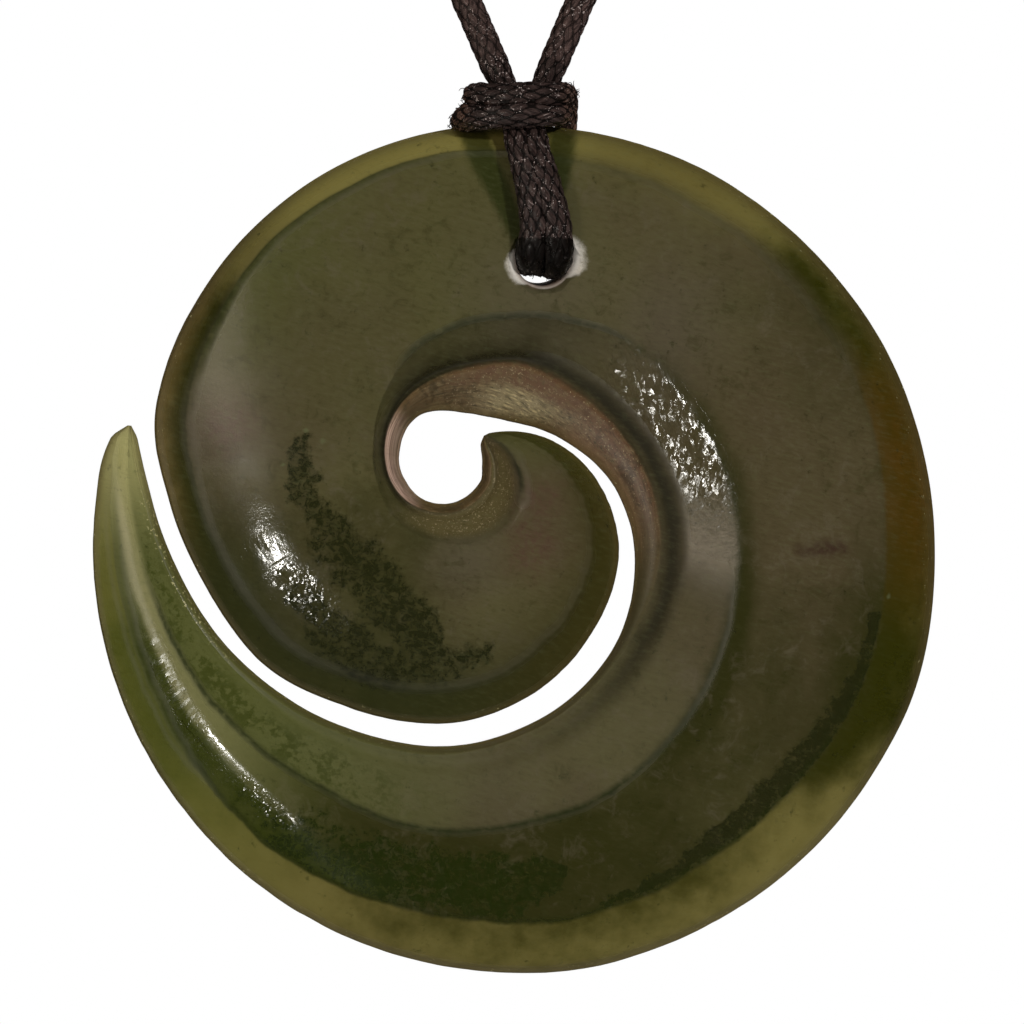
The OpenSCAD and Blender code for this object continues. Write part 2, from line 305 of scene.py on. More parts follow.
# The tail's crest is flat as far as its shoulder, and beyond that it falls away
SHOULDER_TURNS = [174, 190, 200, 217, 230, 237, 250, 262]
SHOULDER_OUT = [0.2, 0.75, 0.95, 1.19, 1.56, 1.86, 2.5, 3.0]  # mm outward from the crease
TAIL_OUT = np.linspace(-1.0, 8.0, 181)  # mm outward from the shoulder
TAIL_SLOPE = 0.255 * smooth(-0.85, -0.2, TAIL_OUT) + 0.10 * smooth(-0.25, 1.35, TAIL_OUT)
TAIL_FALL = np.cumsum(TAIL_SLOPE) * (TAIL_OUT[1] - TAIL_OUT[0])


def shoulder(t):
    """How far outward from the crease the tail's shoulder lies, in mm."""
    return np.interp(t, SHOULDER_TURNS, SHOULDER_OUT)


def tail_roll(t):
    """The share of that fall at the turn angles t."""
    return smooth(178, 196, t) * (1 - smooth(238, 270, t))


# Points of each zone of a section, from the edge beside the eye round the front to the back
LIP_N, WALL_N, SCOOP_N, FLAT_N, BEVEL_N, ROUND_N, BACK_N = 4, 9, 20, 22, 15, 7, 10
FLAT_TO = 0.36  # share of the plateau that stays flat before it rolls over


def stone_rings(t):
    """Radius and height of every point of the sections at the turn angles t, both (turns, points)."""
    c = {k: v[:, None] for k, v in columns_cut(t).items()}
    even = {k: v[:, None] for k, v in columns_at(t).items()}
    top, low = FRONT_H * c["top"], FRONT_H * c["low"]
    back = BACK_H * c["top"]
    edge = np.minimum(EDGE_H, top / 2)
    brow, crest = BROW_SHARE * top, CREASE_SHARE * top
    slant = c["outer"] - c["bevel"]
    hem = np.minimum(BACK_ROUND, 0.3 * (c["outer"] - c["inner"]))
    lip = np.minimum(LIP, 0.1 * (c["outer"] - c["inner"]))
    radius, height = [], []

    def put(r, h):
        radius.append(r + 0 * h)
        height.append(h + 0 * r)

    def steps(n):
        return (np.arange(n) / n)[None, :]

    # the lip beside the eye, and the steep wall
    a = steps(LIP_N) * math.pi / 2
    put(c["inner"] + lip * (1 - np.cos(a)), edge * np.sin(a))
    u = steps(WALL_N)
    put(mix(c["inner"] + lip, c["wall"], u), mix(edge, low, 1 - (1 - u) ** 2.1))
    # the scoop dips behind the top of the wall, then rises as one facet to the crease
    r = mix(c["wall"], c["crease"], steps(SCOOP_N) ** 1.25)
    u = ((r - even["wall"]) / (even["crease"] - even["wall"])).clip(0, 1)
    facet = window(t, 305, 404, 10)[:, None]
    dip = 0.14 * (1 - ((u - 0.12) / 0.12) ** 2).clip(0) * c["top"]
    plain = mix(low, crest, 0.35 * u + 0.65 * u ** 2.0) - dip
    step = np.interp(u, [0, 0.05, 0.09, 0.25, 0.30], [0.05, -0.06, -0.08, 0.30, 0.36])
    flat = mix(low + step, crest, ((u - 0.30) / 0.70).clip(0) ** 0.96)
    put(r, mix(plain, flat, facet))
    # the plateau, which rolls over on the inner strip and falls away past the tail's shoulder
    r = mix(c["crease"], c["bevel"], steps(FLAT_N))
    u = ((r - even["crease"]) / (even["bevel"] - even["crease"])).clip(0, 1)
    crown = CROWN_H * c["top"] * np.sin(math.pi * u) ** 0.8
    soft = 1 - (1 - np.minimum(u / 0.12, 1)) ** 2
    roll = rolled(t)[:, None]
    wide = even["bevel"] - even["crease"]
    fall = roll * wide * (1 - FLAT_TO)
    past = ((u - FLAT_TO) / (1 - FLAT_TO)).clip(0) ** 1.82
    ledge, tail = shoulder(t)[:, None], tail_roll(t)[:, None]
    drop = tail * np.interp(wide * u - ledge, TAIL_OUT, TAIL_FALL)
    put(r, crest + (brow - crest) * u + (top - crest) * soft * (1 - u) + crown - fall * past - drop)
    # the bevel, the round outer edge, and the plain back in three parts
    brow = np.maximum(brow - fall - tail * np.interp(wide - ledge, TAIL_OUT, TAIL_FALL), edge)
    u = steps(BEVEL_N)
    bent = np.maximum(roll / 0.2, tail).clip(0, 1)
    put(mix(c["bevel"], c["outer"] - EDGE_ROUND * (1 - u), u),
        mix(brow, edge, mix(0.62 * u + 0.38 * u ** 5, 0.88 * u + 0.12 * u ** 2, bent)))
    a = (0.5 - steps(ROUND_N)) * math.pi
    put(c["outer"] - EDGE_ROUND * (1 - np.cos(a)), edge * np.sin(a))
    u = steps(BACK_N)
    put(c["outer"] - EDGE_ROUND - u * (1.05 * slant - EDGE_ROUND), -mix(edge, back, u ** 0.62))
    put(mix(c["outer"] - 1.05 * slant, c["inner"] + hem, u), -back - 0.05 * np.sin(math.pi * u) * c["top"])
    put(c["inner"] + hem * (1 - u), -mix(back, edge, 1 - (1 - u ** 1.7) ** 0.8))
    a = (steps(LIP_N) - 1) * math.pi / 2
    put(c["inner"] + lip * (1 - np.cos(a)), edge * np.sin(a))
    return np.concatenate(radius, 1), np.concatenate(height, 1)


HOLE_AT = (1.53, 15.6)
HOLE_R = 1.45
HOLE_LEAN = (-0.07, 0.055)  # mm that the hole's middle moves for each mm further back
HOLE_SIDES = 72
# Depth and share of the hole's radius, from the chipped front mouth to the back one
HOLE_RINGS = [(-3.6, 1.60), (-2.75, 1.42), (-2.45, 1.17), (-2.15, 1.0), (-1.2, 1.0), (0.0, 0.985),
              (1.2, 1.0), (1.9, 1.0), (2.2, 1.25), (2.6, 1.45), (3.4, 1.6)]


def hole_middle(y):
    """Middle of the drilled hole in x and z at depth y, which is negative at the front."""
    back = np.asarray(y) + FRONT_H
    return HOLE_AT[0] + HOLE_LEAN[0] * back, HOLE_AT[1] + HOLE_LEAN[1] * back


def place_stone(t, radius, height):
    """Polar form about the eye to the stone's own x, y, z with the middle of the disc at zero."""
    a = np.radians(t)[:, None]
    return np.stack([EYE[0] + radius * np.cos(a), -height, EYE[1] + radius * np.sin(a)], -1)


def strip_place(points):
    """For points of the stone: turn angle, radius and the section columns there."""
    dx, dz = points[:, 0] - EYE[0], points[:, 2] - EYE[1]
    radius = np.hypot(dx, dz)
    first = np.degrees(np.arctan2(dz, dx)) % 360
    best, found = np.full(len(points), 1e9), first.copy()
    for whole in (0, 360, 720):
        t = first + whole
        held = columns_at(t)
        miss = np.maximum(held["inner"] - radius, radius - held["outer"])
        miss = np.maximum(miss, 0) + 0.2 * np.maximum(TURN_FIRST - t, 0) + 0.2 * np.maximum(t - TURN_LAST, 0)
        closer = miss < best
        best, found = np.where(closer, miss, best), np.where(closer, t, found)
    return found, radius, columns_cut(found)


def across(radius, c):
    """0-1 on the wall, 1-2 in the scoop, 2-3 on the plateau and 3-4 on the bevel."""
    lines = [c["inner"], c["wall"], c["crease"], c["bevel"], c["outer"]]
    q = np.zeros_like(radius)
    for n in range(4):
        share = (radius - lines[n]) / np.maximum(lines[n + 1] - lines[n], 1e-3)
        q = np.where(radius >= lines[n], n + np.clip(share, 0, 1), q)
    return q


def hand_worked(points, t, r):
    """How far hand work moves each point to the front, in mm: low waves, and finer marks in the scoop."""
    c = columns_at(t)
    q = across(r, c)
    inside = np.minimum(smooth(0, 1.2, r - c["inner"]), smooth(0, 1.2, c["outer"] - r))
    waves = 0.03 * noise_at(points, 5.0, 2, 4.0) + 0.008 * noise_at(points, 1.3, 2, 8.0)
    stretched = np.stack([np.radians(t) * r * 0.45, r * 1.9, 0 * r], 1)
    marks = 0.05 * noise_at(stretched, 1.0, 3, 2.0) * window(q, 1.3, 1.97, 0.1) * window(t, 356, 398, 10)
    return np.where(points[:, 1] < -0.5, inside * (waves + marks), -inside * waves)


def build_stone():
    inner_turns = np.arange(TURN_FIRST + 3, TURN_LAST - 3, TURN_STEP)
    turns = np.concatenate([[174, 174.8, 175.6, 176.4], inner_turns, [744.5, 745.5, 746.3, 747]])
    radius, height = stone_rings(turns)
    rings, sides = radius.shape
    points = place_stone(turns, radius, height).reshape(-1, 3)
    points[:, 1] -= hand_worked(points, np.repeat(turns, sides), radius.reshape(-1))
    ob = add_mesh("stone_koru", points + DISC, ring_faces(rings, sides))
    cut_hole(ob)
    return ob


def hole_cutter():
    """The drilled hole with its chipped mouths, front at the first ring."""
    points = []
    for y, swell in HOLE_RINGS:
        middle_x, middle_z = hole_middle(y)
        for a in 2 * math.pi * np.arange(HOLE_SIDES) / HOLE_SIDES:
            rough = noise.noise(Vector((2.2 * math.cos(a), 2.2 * math.sin(a), 0.35 * y)))
            chip = 0.35 * max(0, math.cos(a + 0.35)) ** 3 + 0.25 * max(0, math.cos(a - 3.9)) ** 3
            grown = HOLE_R * (1 + (swell - 1) * (0.75 + 0.5 * rough + chip) + 0.008 * rough)
            points.append((middle_x + grown * math.cos(a), y, middle_z + grown * math.sin(a)))
    return add_mesh("cutter", np.array(points) + DISC, ring_faces(len(HOLE_RINGS), HOLE_SIDES))


def cut_hole(ob):
    cutter = hole_cutter()
    for body in (ob, cutter):
        bm = bmesh.new()
        bm.from_mesh(body.data)
        bmesh.ops.recalc_face_normals(bm, faces=bm.faces)
        bm.to_mesh(body.data)
        bm.free()
    cut = ob.modifiers.new("hole", "BOOLEAN")
    cut.operation, cut.solver, cut.object = "DIFFERENCE", "EXACT", cutter
    depsgraph = bpy.context.evaluated_depsgraph_get()
    me = bpy.data.meshes.new_from_object(ob.evaluated_get(depsgraph))
    ob.modifiers.clear()
    old, ob.data = ob.data, me
    bpy.data.meshes.remove(old)
    bpy.data.objects.remove(cutter)


# Marks in the stone, as x, z and half width or radius in mm from the middle of the disc
MOSS = [(-11.7, 5.6, 0.35), (-11.2, 3.4, 0.75), (-10.2, 1.3, 1.1), (-8.7, -0.6, 1.5), (-6.9, -2.4, 1.5),
        (-5.2, -4.1, 1.2), (-4.3, -5.4, 0.6)]
MOSS_BELOW = [(-11.6, -2.2, 0.7), (-10.2, -4.4, 1.3), (-7.6, -6.2, 1.3), (-4.6, -6.3, 1.0), (-1.6, -5.6, 0.6)]
MOSS_LOW = [(-18.0, -10.6, 0.25), (-16.6, -12.7, 0.7), (-14.4, -14.4, 1.2), (-11.6, -15.6, 1.5),
            (-8.2, -17.0, 1.6), (-4.4, -17.8, 1.6), (-0.8, -18.0, 1.5), (1.7, -17.6, 0.9)]
MOSS_RIGHT = [(19.5, -3.4, 0.25), (18.6, -6.8, 0.5), (16.9, -9.6, 0.75), (14.7, -12.2, 0.8),
              (12.0, -14.6, 0.6), (8.4, -17.4, 0.4), (4.6, -19.2, 0.3)]
PURPLE = [(1.3, 2.7, 1.3), (-15.6, 6.6, 1.5), (0.9, 0.2, 1.6)]
STREAK = [(15.2, 0.05, 0.22), (17.5, 0.15, 0.30)]
ASHY = [(1.2, 13.4, 4.2), (8.0, 12.0, 3.4), (-2.6, -0.4, 2.0)]
CRACKLED = [(-12.3, -1.5, 0.6), (-11.5, -2.1, 0.9), (-10.4, -3.1, 1.1)]
SCRATCHED = [(-13.4, 0.0, 0.75)]
SHINE = [(-12.9, -0.3, 2.2)]
CHIPS = [(-11.3, 6.45, 0.22), (-10.2, 5.85, 0.3), (-12.4, 4.6, 0.16), (20.1, -2.4, 0.25), (-2.6, 17.4, 0.14)]
# Painted shadows that the hitch's legs cast through the stone
LEFT_LEG_SHADOW = [(-2.6, 23.4, 0.75), (-1.7, 21.0, 0.72), (-0.9, 19.4, 0.62), (0.2, 17.0, 0.5)]
RIGHT_LEG_SHADOW = [(2.6, 23.2, 0.8), (2.5, 21.2, 0.7), (2.3, 19.6, 0.5)]

# Marks that follow the strip. A row is a weight, the first and last turn angle and the fade between, and then
# the same three for the place across the strip, where the mark doesn't cover its whole width.
END = 9  # past both edges of the strip
STRIP_MARKS = {
    "ruddy": [(1, 338, 378, 9, -END, 1.025, 0.075)],
    "dusky": [(1, 376, 440, 10, 0.62, 1.02, 0.08)],
    "unpolished": [(1, 284, 331, 7, 1.2, 1.98, 0.06)],
    "satin": [(1, 462, 548, 11), (1, 322, 352, 6, 1.3, 1.98, 0.06)],
    "glade": [(1, 190, 262, 12, 1.3, 2.0, 0.2)],
    "lit_edge": [(1, 336, 372, 8, -0.2, 0.34, 0.10)],
    "cut": [(1, 352, 396, 8, 1.32, 1.97, 0.10)],
    "pink": [(1, 498, 600, 16, -END, 1.0, 0.1)],
    "brown": [(1, 345, 371, 9), (0.7, 504, 560, 12, 3.55, END, 0.35), (0.2, 399, 420, 9)],
    "green": [(0.5, 478, 520, 14, 2.7, END, 0.25), (0.25, 425, 520, 22)],
    "warm": [(0.8, 322, 385, 26), (0.6, 680, 730, 14)],
    "solid": [(1, 284, 352, 8)],
    # Light that the thin bevel lets through is painted into its colour: light says how much, inward_dark
    # takes some away on the bevel's inner part, and pale makes it paler
    "light": [(0.52, 290, 324, 9), (0.2, 307, 322, 5), (1, 394, 500, 9), (0.8, 170, 206, 5),
              (0.72, 232, 259, 8), (0.40, 258, 290, 8), (0.1, 206, 232, 5)],
    "inward_dark": [(0.25, 288, 332, 12), (0.6, 318, 332, 5)],
    "pale": [(1, 428, 486, 10)],
    "faded": [(0.9, 368, 440, 12), (0.3, 318, 366, 8)],
}
GLOOM = [(0.9, 222, 318, 32, 2.0, END, 0.15), (0.55, 556, 634, 18), (0.4, 366, 392, 8, 2.55, END, 0.25),
         (0.3, 316, 342, 9, 2.0, END, 0.1), (0.5, 328, 352, 8, 2.75, END, 0.2)]
DULL = [(1, 276, 405, 10, 1.0, 1.32, 0.08), (0.75, 276, 335, 7, 1.2, 1.98, 0.06),
        (0.6, 236, 290, 10, 1.0, 1.98, 0.06)]
BEVEL_LINE = [(0.9, 235, 322, 12), (1, 452, 516, 10), (0.25, 322, 452, 12)]
CREASE_LINE = [(1, 205, 322, 8), (0.5, 322, 370, 8), (0.3, 370, 394, 8), (0.8, 394, 470, 8)]
WIDE_RIM = [(0.4, 338, 402, 10), (0.4, 500, 540, 10)]
# The same kind of rows, with the distance in mm outward from the tail's shoulder in place of the place across
TAIL_CRACKLE = [(0.8, 238, 248, 2.5, -0.4, 0.6, 0.2), (0.5, 226, 244, 4, 0.25, 1.0, 0.15)]
TAIL_POLISH = [(1, 228.5, 237.5, 1.2, -0.5, 0.32, 0.12)]
TAIL_STROKES = [(1, 212, 229.5, 5, -0.5, 0.5, 0.15)]


def blobs(points, spots):
    """The largest of soft round spots."""
    out = np.zeros(len(points))
    for x, z, size in spots:
        out = np.maximum(out, near(np.hypot(points[:, 0] - x, points[:, 2] - z), size))
    return out


def trail(points, route, soft=0.5):
    """1 inside a trail along the route, fading over soft widths outside."""
    out = np.zeros(len(points))
    p = points[:, [0, 2]]
    for a, b in zip(route[:-1], route[1:]):
        a, b = np.array(a), np.array(b)
        way = (b - a)[:2]
        u = np.clip(((p - a[:2]) @ way) / (way @ way), 0, 1)
        width = mix(a[2], b[2], u)
        d = np.linalg.norm(p - (a[:2] + u[:, None] * way), axis=1)
        out = np.maximum(out, 1 - smooth(width * (1 - soft), width * (1 + soft), d))
    return out


def strip_mark(t, rows, place=None):
    """The sum of the rows' weights, each where its row says."""
    total = 0
    for weight, low, high, soft, *limits in rows:
        share = weight * window(t, low, high, soft)
        total = total + (share * window(place, *limits) if limits else share)
    return total


def stone_places(ob):
    """Where each point of the stone lies, for the marks to be worked out from."""
    me = ob.data
    co = np.empty(len(me.vertices) * 3)
    me.vertices.foreach_get("co", co)
    points = co.reshape(-1, 3) / MM - DISC
    t, r, c = strip_place(points)
    middle_x, middle_z = hole_middle(points[:, 1])
    drift = np.zeros_like(points)
    for axis, seed in ((0, 21.0), (2, 31.0)):
        drift[:, axis] = 0.55 * noise_at(points, 1.6, 3, seed)
    return SimpleNamespace(
        points=points, t=t, r=r, c=c, q=across(r, c), front=points[:, 1] < 0,
        drift=drift, torn=points + drift,
        edge=np.minimum(r - c["inner"], c["outer"] - r),
        from_hole=np.hypot(points[:, 0] - middle_x, points[:, 2] - middle_z),
        past=np.where(t < 300, r - c["crease"] - shoulder(t), -END),
    )


def line_marks(p):
    """The cut lines, and where the surface is worn or dull beside them."""
    t, r, c = p.t, p.r, p.c
    bevel_line = near(r - c["bevel"] + 0.07, 0.13) * strip_mark(t, BEVEL_LINE)
    crease_line = np.maximum(near(r - c["crease"] - 0.05, 0.16) * strip_mark(t, CREASE_LINE),
                             0.8 * near(r - c["crease"] + 0.05, 0.13) * window(t, 698, 716, 4))
    # below and at the right these lines face well away from the lamp, and only smooth ones stay dark
    smooth_bevel, smooth_crease = window(t, 234, 376, 8), window(t, 304, 394, 8)
    ridge = (1 - smooth_bevel) * near(r - c["bevel"], 0.3) + (t > 300) * near(r - c["wall"], 0.35)
    rough_lines = np.maximum(crease_line * (1 - smooth_crease), bevel_line * (1 - smooth_bevel))
    dull = [
        near(r - c["crease"] - 0.05, 0.4) * window(t, 690, 744, 5),
        0.85 * near(r - c["bevel"], 0.4) * window(t, 188, 230, 6),
        near(r - c["wall"], 0.25) * window(t, 300, 560, 8),
        np.where(p.front, rough_lines, 0),
        *(strip_mark(t, [row], p.q) for row in DULL),
    ]
    return {
        "rim": 1 - smooth(0.0, 0.5 + strip_mark(t, WIDE_RIM), p.edge),
        "ridge": np.where(p.front, np.clip(ridge + 1 - smooth(0.1, 0.6, p.edge), 0, 1), 0),
        "line": np.where(p.front, np.maximum(bevel_line, crease_line), 0),
        # where shade is painted along the top edge of the wall
        "wall_top_shade": near(r - c["wall"], 0.2) * window(t, 352, 560, 8),
        "dull": np.max(dull, axis=0),
    }


def colour_marks(p):
    """Areas of the stone that have a colour of their own."""
    t, r, c, q = p.t, p.r, p.c, p.q
    moss = [
        trail(p.torn, MOSS),
        0.75 * trail(p.torn, MOSS_BELOW),
        trail(p.torn, MOSS_LOW) * smooth(225, 262, t),
        0.95 * trail(p.points + 0.4 * p.drift, MOSS_RIGHT) * (1 - smooth(2.98, 3.05, q)),
    ]
    # painted shadows of the hitch's legs, seen through the stone
    legs = np.maximum(trail(p.points, LEFT_LEG_SHADOW, 0.3), trail(p.points, RIGHT_LEG_SHADOW, 0.3))
    beside_crease = 0.7 * near(r - c["crease"] - 0.3, 0.8) * window(t, 308, 385, 10)
    crest = smooth(-0.25, 0.25, r - c["crease"]) * (1 - smooth(-0.25, 0.15, p.past))
    return {
        "moss": np.max(moss, axis=0) * np.where(t < 300, 1 - smooth(2.96, 3.02, q), 1),
        "purple": blobs(p.torn, PURPLE),
        "streak": trail(mix(p.points, p.torn, 0.5), STREAK, 0.9),
        "ashy": blobs(p.points, ASHY),
        "chip": np.where(p.front, blobs(p.points, CHIPS), 0),
        "leg": np.where(p.front, legs, 0),
        "bore": (p.from_hole < HOLE_R + 0.05).astype(float),
        "gloom": np.clip(strip_mark(t, GLOOM, q) + beside_crease, 0, 1),
        # painted shade over the scoop above the eye, which faces down
        "shaded": window(t, 398, 560, 14) * window(q, 0.98, 1.97, 0.05) * (1 - 0.45 * smooth(1.35, 1.7, q)),
        "pocket": near(t - 397, 20) * window(q, 0.12, 0.62, 0.14),
        "tail": np.where(q < 2, 1 - smooth(236, 285, t), 1 - smooth(226, 262, t)),
        "crest": crest * (1 - 0.3 * smooth(204, 216, t)) * (1 - smooth(216, 252, t)),
        "flank": smooth(-0.1, 0.25, p.past) * window(t, 208, 262, 6) * (1 - smooth(2.97, 3.03, q)),
        "hook": smooth(700, 742, t),
    }


def cells(p, cut, polish):
    """Where the surface breaks into small flat facets that glint, and how deep they are in mm.

    They are cross strokes on the tail's shoulder, scratches at the bulb's highlight and crackle beside both,
    and long cuts at the far end of the scoop.
    """
    turn, x, z = np.radians(p.t), p.points[:, 0], p.points[:, 2]
    strokes = strip_mark(p.t, TAIL_STROKES, p.past)
    scratches = 0.7 * blobs(p.points, SCRATCHED)
    crackle = [0.9 * blobs(p.points, CRACKLED)]
    crackle += [strip_mark(p.t, [row], p.past) for row in TAIL_CRACKLE]
    kinds = [
        (strokes * 0.06, turn * 19.5 * 4.6, p.r * 1.5),
        (scratches * 0.02, turn * 10.5 * 1.2, p.r * 6.5),
        (np.max(crackle, axis=0) * (1 - polish) * 0.034, x * 9.0, z * 9.0),
        (cut * 0.055, turn * 12.0 * 2.5, p.r * 5.4),
    ]
    depth, cell_x, cell_z = (np.array(rows) for rows in zip(*kinds))
    pick = (depth.argmax(axis=0), np.arange(len(turn)))
    return {"cell": depth[pick], "cell_x": cell_x[pick], "cell_z": cell_z[pick]}


def mark_stone(ob):
    p = stone_places(ob)
    values = {
        "turn": p.t / 100,
        "across": np.where(p.front, p.q, 2.5),
        "along": np.radians(p.t) * p.r,
        "front": p.front.astype(float),
        "shine": blobs(p.points, SHINE),
        "polish": strip_mark(p.t, TAIL_POLISH, p.past),
        # where painted sparkle goes, along the tail's inner edge
        "sparkle": window(p.r - p.c["inner"], 0.10, 0.62, 0.10) * window(p.t, 187, 222, 5),
    }
    values.update({name: strip_mark(p.t, rows, p.q) for name, rows in STRIP_MARKS.items()})
    values.update(line_marks(p))
    values.update(colour_marks(p))
    values.update(cells(p, values.pop("cut"), values["polish"]))
    me = ob.data
    set_attributes(me, values)
    me.shade_smooth()
    me.set_sharp_from_angle(angle=math.radians(38))


# Materials
class Value:
    """A number or place worked out by a shader. Arithmetic on it adds the nodes that do the same."""

    def __init__(self, shader, socket):
        self.shader, self.socket = shader, socket

    def __add__(self, other):
        return self.shader.math("ADD", self, other)

    def __mul__(self, other):
        return self.shader.math("MULTIPLY", self, other)

    def __sub__(self, other):
        return self.shader.math("SUBTRACT", self, other) if isinstance(other, Value) else self + -other

    def __rsub__(self, other):
        return self.shader.math("SUBTRACT", other, self)

    def __truediv__(self, other):
        return self.shader.math("DIVIDE", self, other)


class Shader:
    """A material built from nodes, with short names for what it is built from.

    shader["name"] is a number on the mesh's points. The colour so far is in color, and lay puts more on it.
    """

    def __init__(self, name):
        self.mat = bpy.data.materials.new(name)
        self.mat.use_nodes = True
        self.tree = self.mat.node_tree
        self.bsdf = self.tree.nodes["Principled BSDF"]
        self.coords = Value(self, self.tree.nodes.new("ShaderNodeTexCoord").outputs["Object"])
        self.color = None
        self.read = {}

    def node(self, kind, **values):
        n = self.tree.nodes.new("ShaderNode" + kind)
        for k, v in values.items():
            setattr(n, k, v)
        return n

    def feed(self, socket, value):
        if isinstance(value, Value):
            self.tree.links.new(value.socket, socket)
        else:
            socket.default_value = value

    def result(self, node, output=0, **inputs):
        for name, value in inputs.items():
            self.feed(node.inputs[name.replace("_", " ")], value)
        return Value(self, node.outputs[output])

    def __getitem__(self, name):
        if name not in self.read:
            self.read[name] = self.result(self.node("Attribute", attribute_name=name), "Fac")
        return self.read[name]

    def axis(self, name, vector):
        """One axis of a vector."""
        return self.result(self.node("SeparateXYZ"), name, Vector=vector)

    def coord(self, name):
        """One coordinate of the object, in mm."""
        return self.axis(name, self.coords) * (1 / MM)

    def math(self, operation, a, b=0.0, clamp=False):
        n = self.node("Math", operation=operation, use_clamp=clamp)
        self.feed(n.inputs[0], a)
        self.feed(n.inputs[1], b)
        return Value(self, n.outputs[0])

    def ramp(self, value, low, high, to_low=0.0, to_high=1.0):
        n = self.node("MapRange", interpolation_type="SMOOTHSTEP")
        return self.result(n, "Result", Value=value, From_Min=low, From_Max=high,
                           To_Min=to_low, To_Max=to_high)

    def band(self, value, low, high, soft):
        return self.ramp(value, low - soft, low + soft) * self.ramp(value, high - soft, high + soft, 1.0, 0.0)

    def noise(self, per_mm, detail=3.0, rough=0.55, vector=None, distortion=0.0):
        place, scale = (self.coords, per_mm / MM) if vector is None else (vector, per_mm)
        return self.result(self.node("TexNoise"), "Fac", Vector=place, Scale=scale, Detail=detail,
                           Roughness=rough, Distortion=distortion)

    def facets(self, x, z):
        """Flat cells that each lean their own way, as a height that changes by up to half a cell."""
        place = self.vector(x, 0.0, z)
        n = self.node("TexVoronoi", voronoi_dimensions="3D")
        lean = self.result(n, "Color", Vector=place, Scale=1.0)
        away = self.node("VectorMath", operation="SUBTRACT")
        self.feed(away.inputs[0], place)
        self.feed(away.inputs[1], Value(self, n.outputs["Position"]))
        from_middle = Value(self, away.outputs[0])
        tilts = [self.axis(axis, from_middle) * (self.axis(axis, lean) - 0.5) for axis in ("X", "Z")]
        return tilts[0] + tilts[1]

    def vector(self, x, y, z):
        return self.result(self.node("CombineXYZ"), X=x, Y=y, Z=z)

    def mix(self, share, a, b):
        return self.result(self.node("Mix", data_type="RGBA"), "Result", Factor=share, A=a, B=b)

    def lay(self, share, color):
        self.color = self.mix(share, self.color, color)

    def bump(self, height, strength, distance_mm, **normal):
        return self.result(self.node("Bump"), "Normal", Strength=strength, Distance=distance_mm * MM,
                           Height=height, **normal)

    def finish(self, roughness, normal, ior):
        fed = {"Base Color": self.color, "Roughness": roughness, "Normal": normal, "IOR": ior}
        for name, value in fed.items():
            self.feed(self.bsdf.inputs[name], value)
        return self.mat


def tone(*rgb):
    """A colour given in 0-255 as the linear one that shaders use."""
    out = []
    for c in rgb:
        c = c / 255
        out.append(c / 12.92 if c <= 0.04045 else ((c + 0.055) / 1.055) ** 2.4)
    return (*out, 1.0)


OLIVE_GREY, OLIVE_BROWN = tone(85, 80, 50), tone(76, 65, 46)
OLIVE_GREEN, OLIVE_DARK = tone(76, 78, 34), tone(45, 45, 14)
ASH, ASH_BROWN = tone(96, 88, 70), tone(86, 78, 66)
MAUVE, STREAK_PURPLE = tone(84, 58, 50), tone(56, 38, 30)
BEVEL_GLOW, BEVEL_PALE_GLOW = tone(117, 108, 57), tone(138, 128, 68)
BEVEL_DARK, BEVEL_BROWN = tone(47, 47, 3), tone(78, 55, 12)
BEVEL_TAN, STRIP_GREEN = tone(126, 106, 62), tone(52, 54, 26)
HOOK_GREEN, MOSS_AND_SHADOW_GREEN = tone(60, 54, 22), tone(30, 40, 4)
MOSS_LIGHT, MOSS_GREY = tone(54, 61, 13), tone(32, 34, 11)
LINE_GREEN, TAIL_GREEN_GLOW = tone(30, 38, 4), tone(90, 94, 48)
TAIL_EDGE_GLOW, CREST = tone(98, 104, 38), tone(138, 134, 90)
TIP_GLOW, WALL_BROWN = tone(176, 170, 112), tone(94, 72, 44)
WALL_RUDDY, WALL_PINK = tone(98, 68, 47), tone(140, 112, 96)
WALL_LIGHT, POCKET = tone(200, 168, 150), tone(138, 124, 88)
# The first of these is a dark olive for painted shade in the scoop and for dark streaks in the wall
SHADE_AND_DARK_OLIVE, RING_BROWN = tone(38, 34, 16), tone(92, 82, 50)
GOLD, GILT = tone(168, 152, 118), tone(186, 166, 116)
EDGE_TAN, CHALKY = tone(134, 106, 78), tone(250, 242, 230)
PATINA, RIM_TAN = tone(98, 104, 70), tone(104, 88, 46)
NICK_AND_SPARKLE, FRAY_DARK = tone(190, 182, 132), tone(48, 30, 24)
FRAY_BACKLIT, PAINTED_GLINT = tone(126, 96, 82), tone(190, 174, 168)
GROOVE_SHADE, HOLE_SHADE = tone(10, 7, 6), tone(9, 6, 4)


def stone_body(s):
    """The thick stone: dark olive that turns greyer, browner or greener along the strip."""
    s.color = s.mix(s.ramp(s.broad, 0.40, 0.64, 0.0, 0.5), OLIVE_GREY, OLIVE_BROWN)
    s.lay(s["warm"] * 0.8, OLIVE_BROWN)
    s.lay(s["green"], OLIVE_GREEN)
    s.lay(s.ramp(s["gloom"] + (s.middle - 0.5) * 0.7, 0.0, 1.0, 0.0, 0.95), OLIVE_DARK)
    clouds = s.noise(0.30, 4, 0.68, distortion=0.8) + s.noise(1.1, 4, 0.7, distortion=1.2)
    s.lay(s["ashy"] * 0.45, ASH_BROWN)
    s.lay(s.ramp(clouds, 1.0, 1.35, 0.0, 0.4), ASH)
    s.lay(s.ramp(clouds, 0.96, 0.68, 0.0, 0.4), OLIVE_DARK)


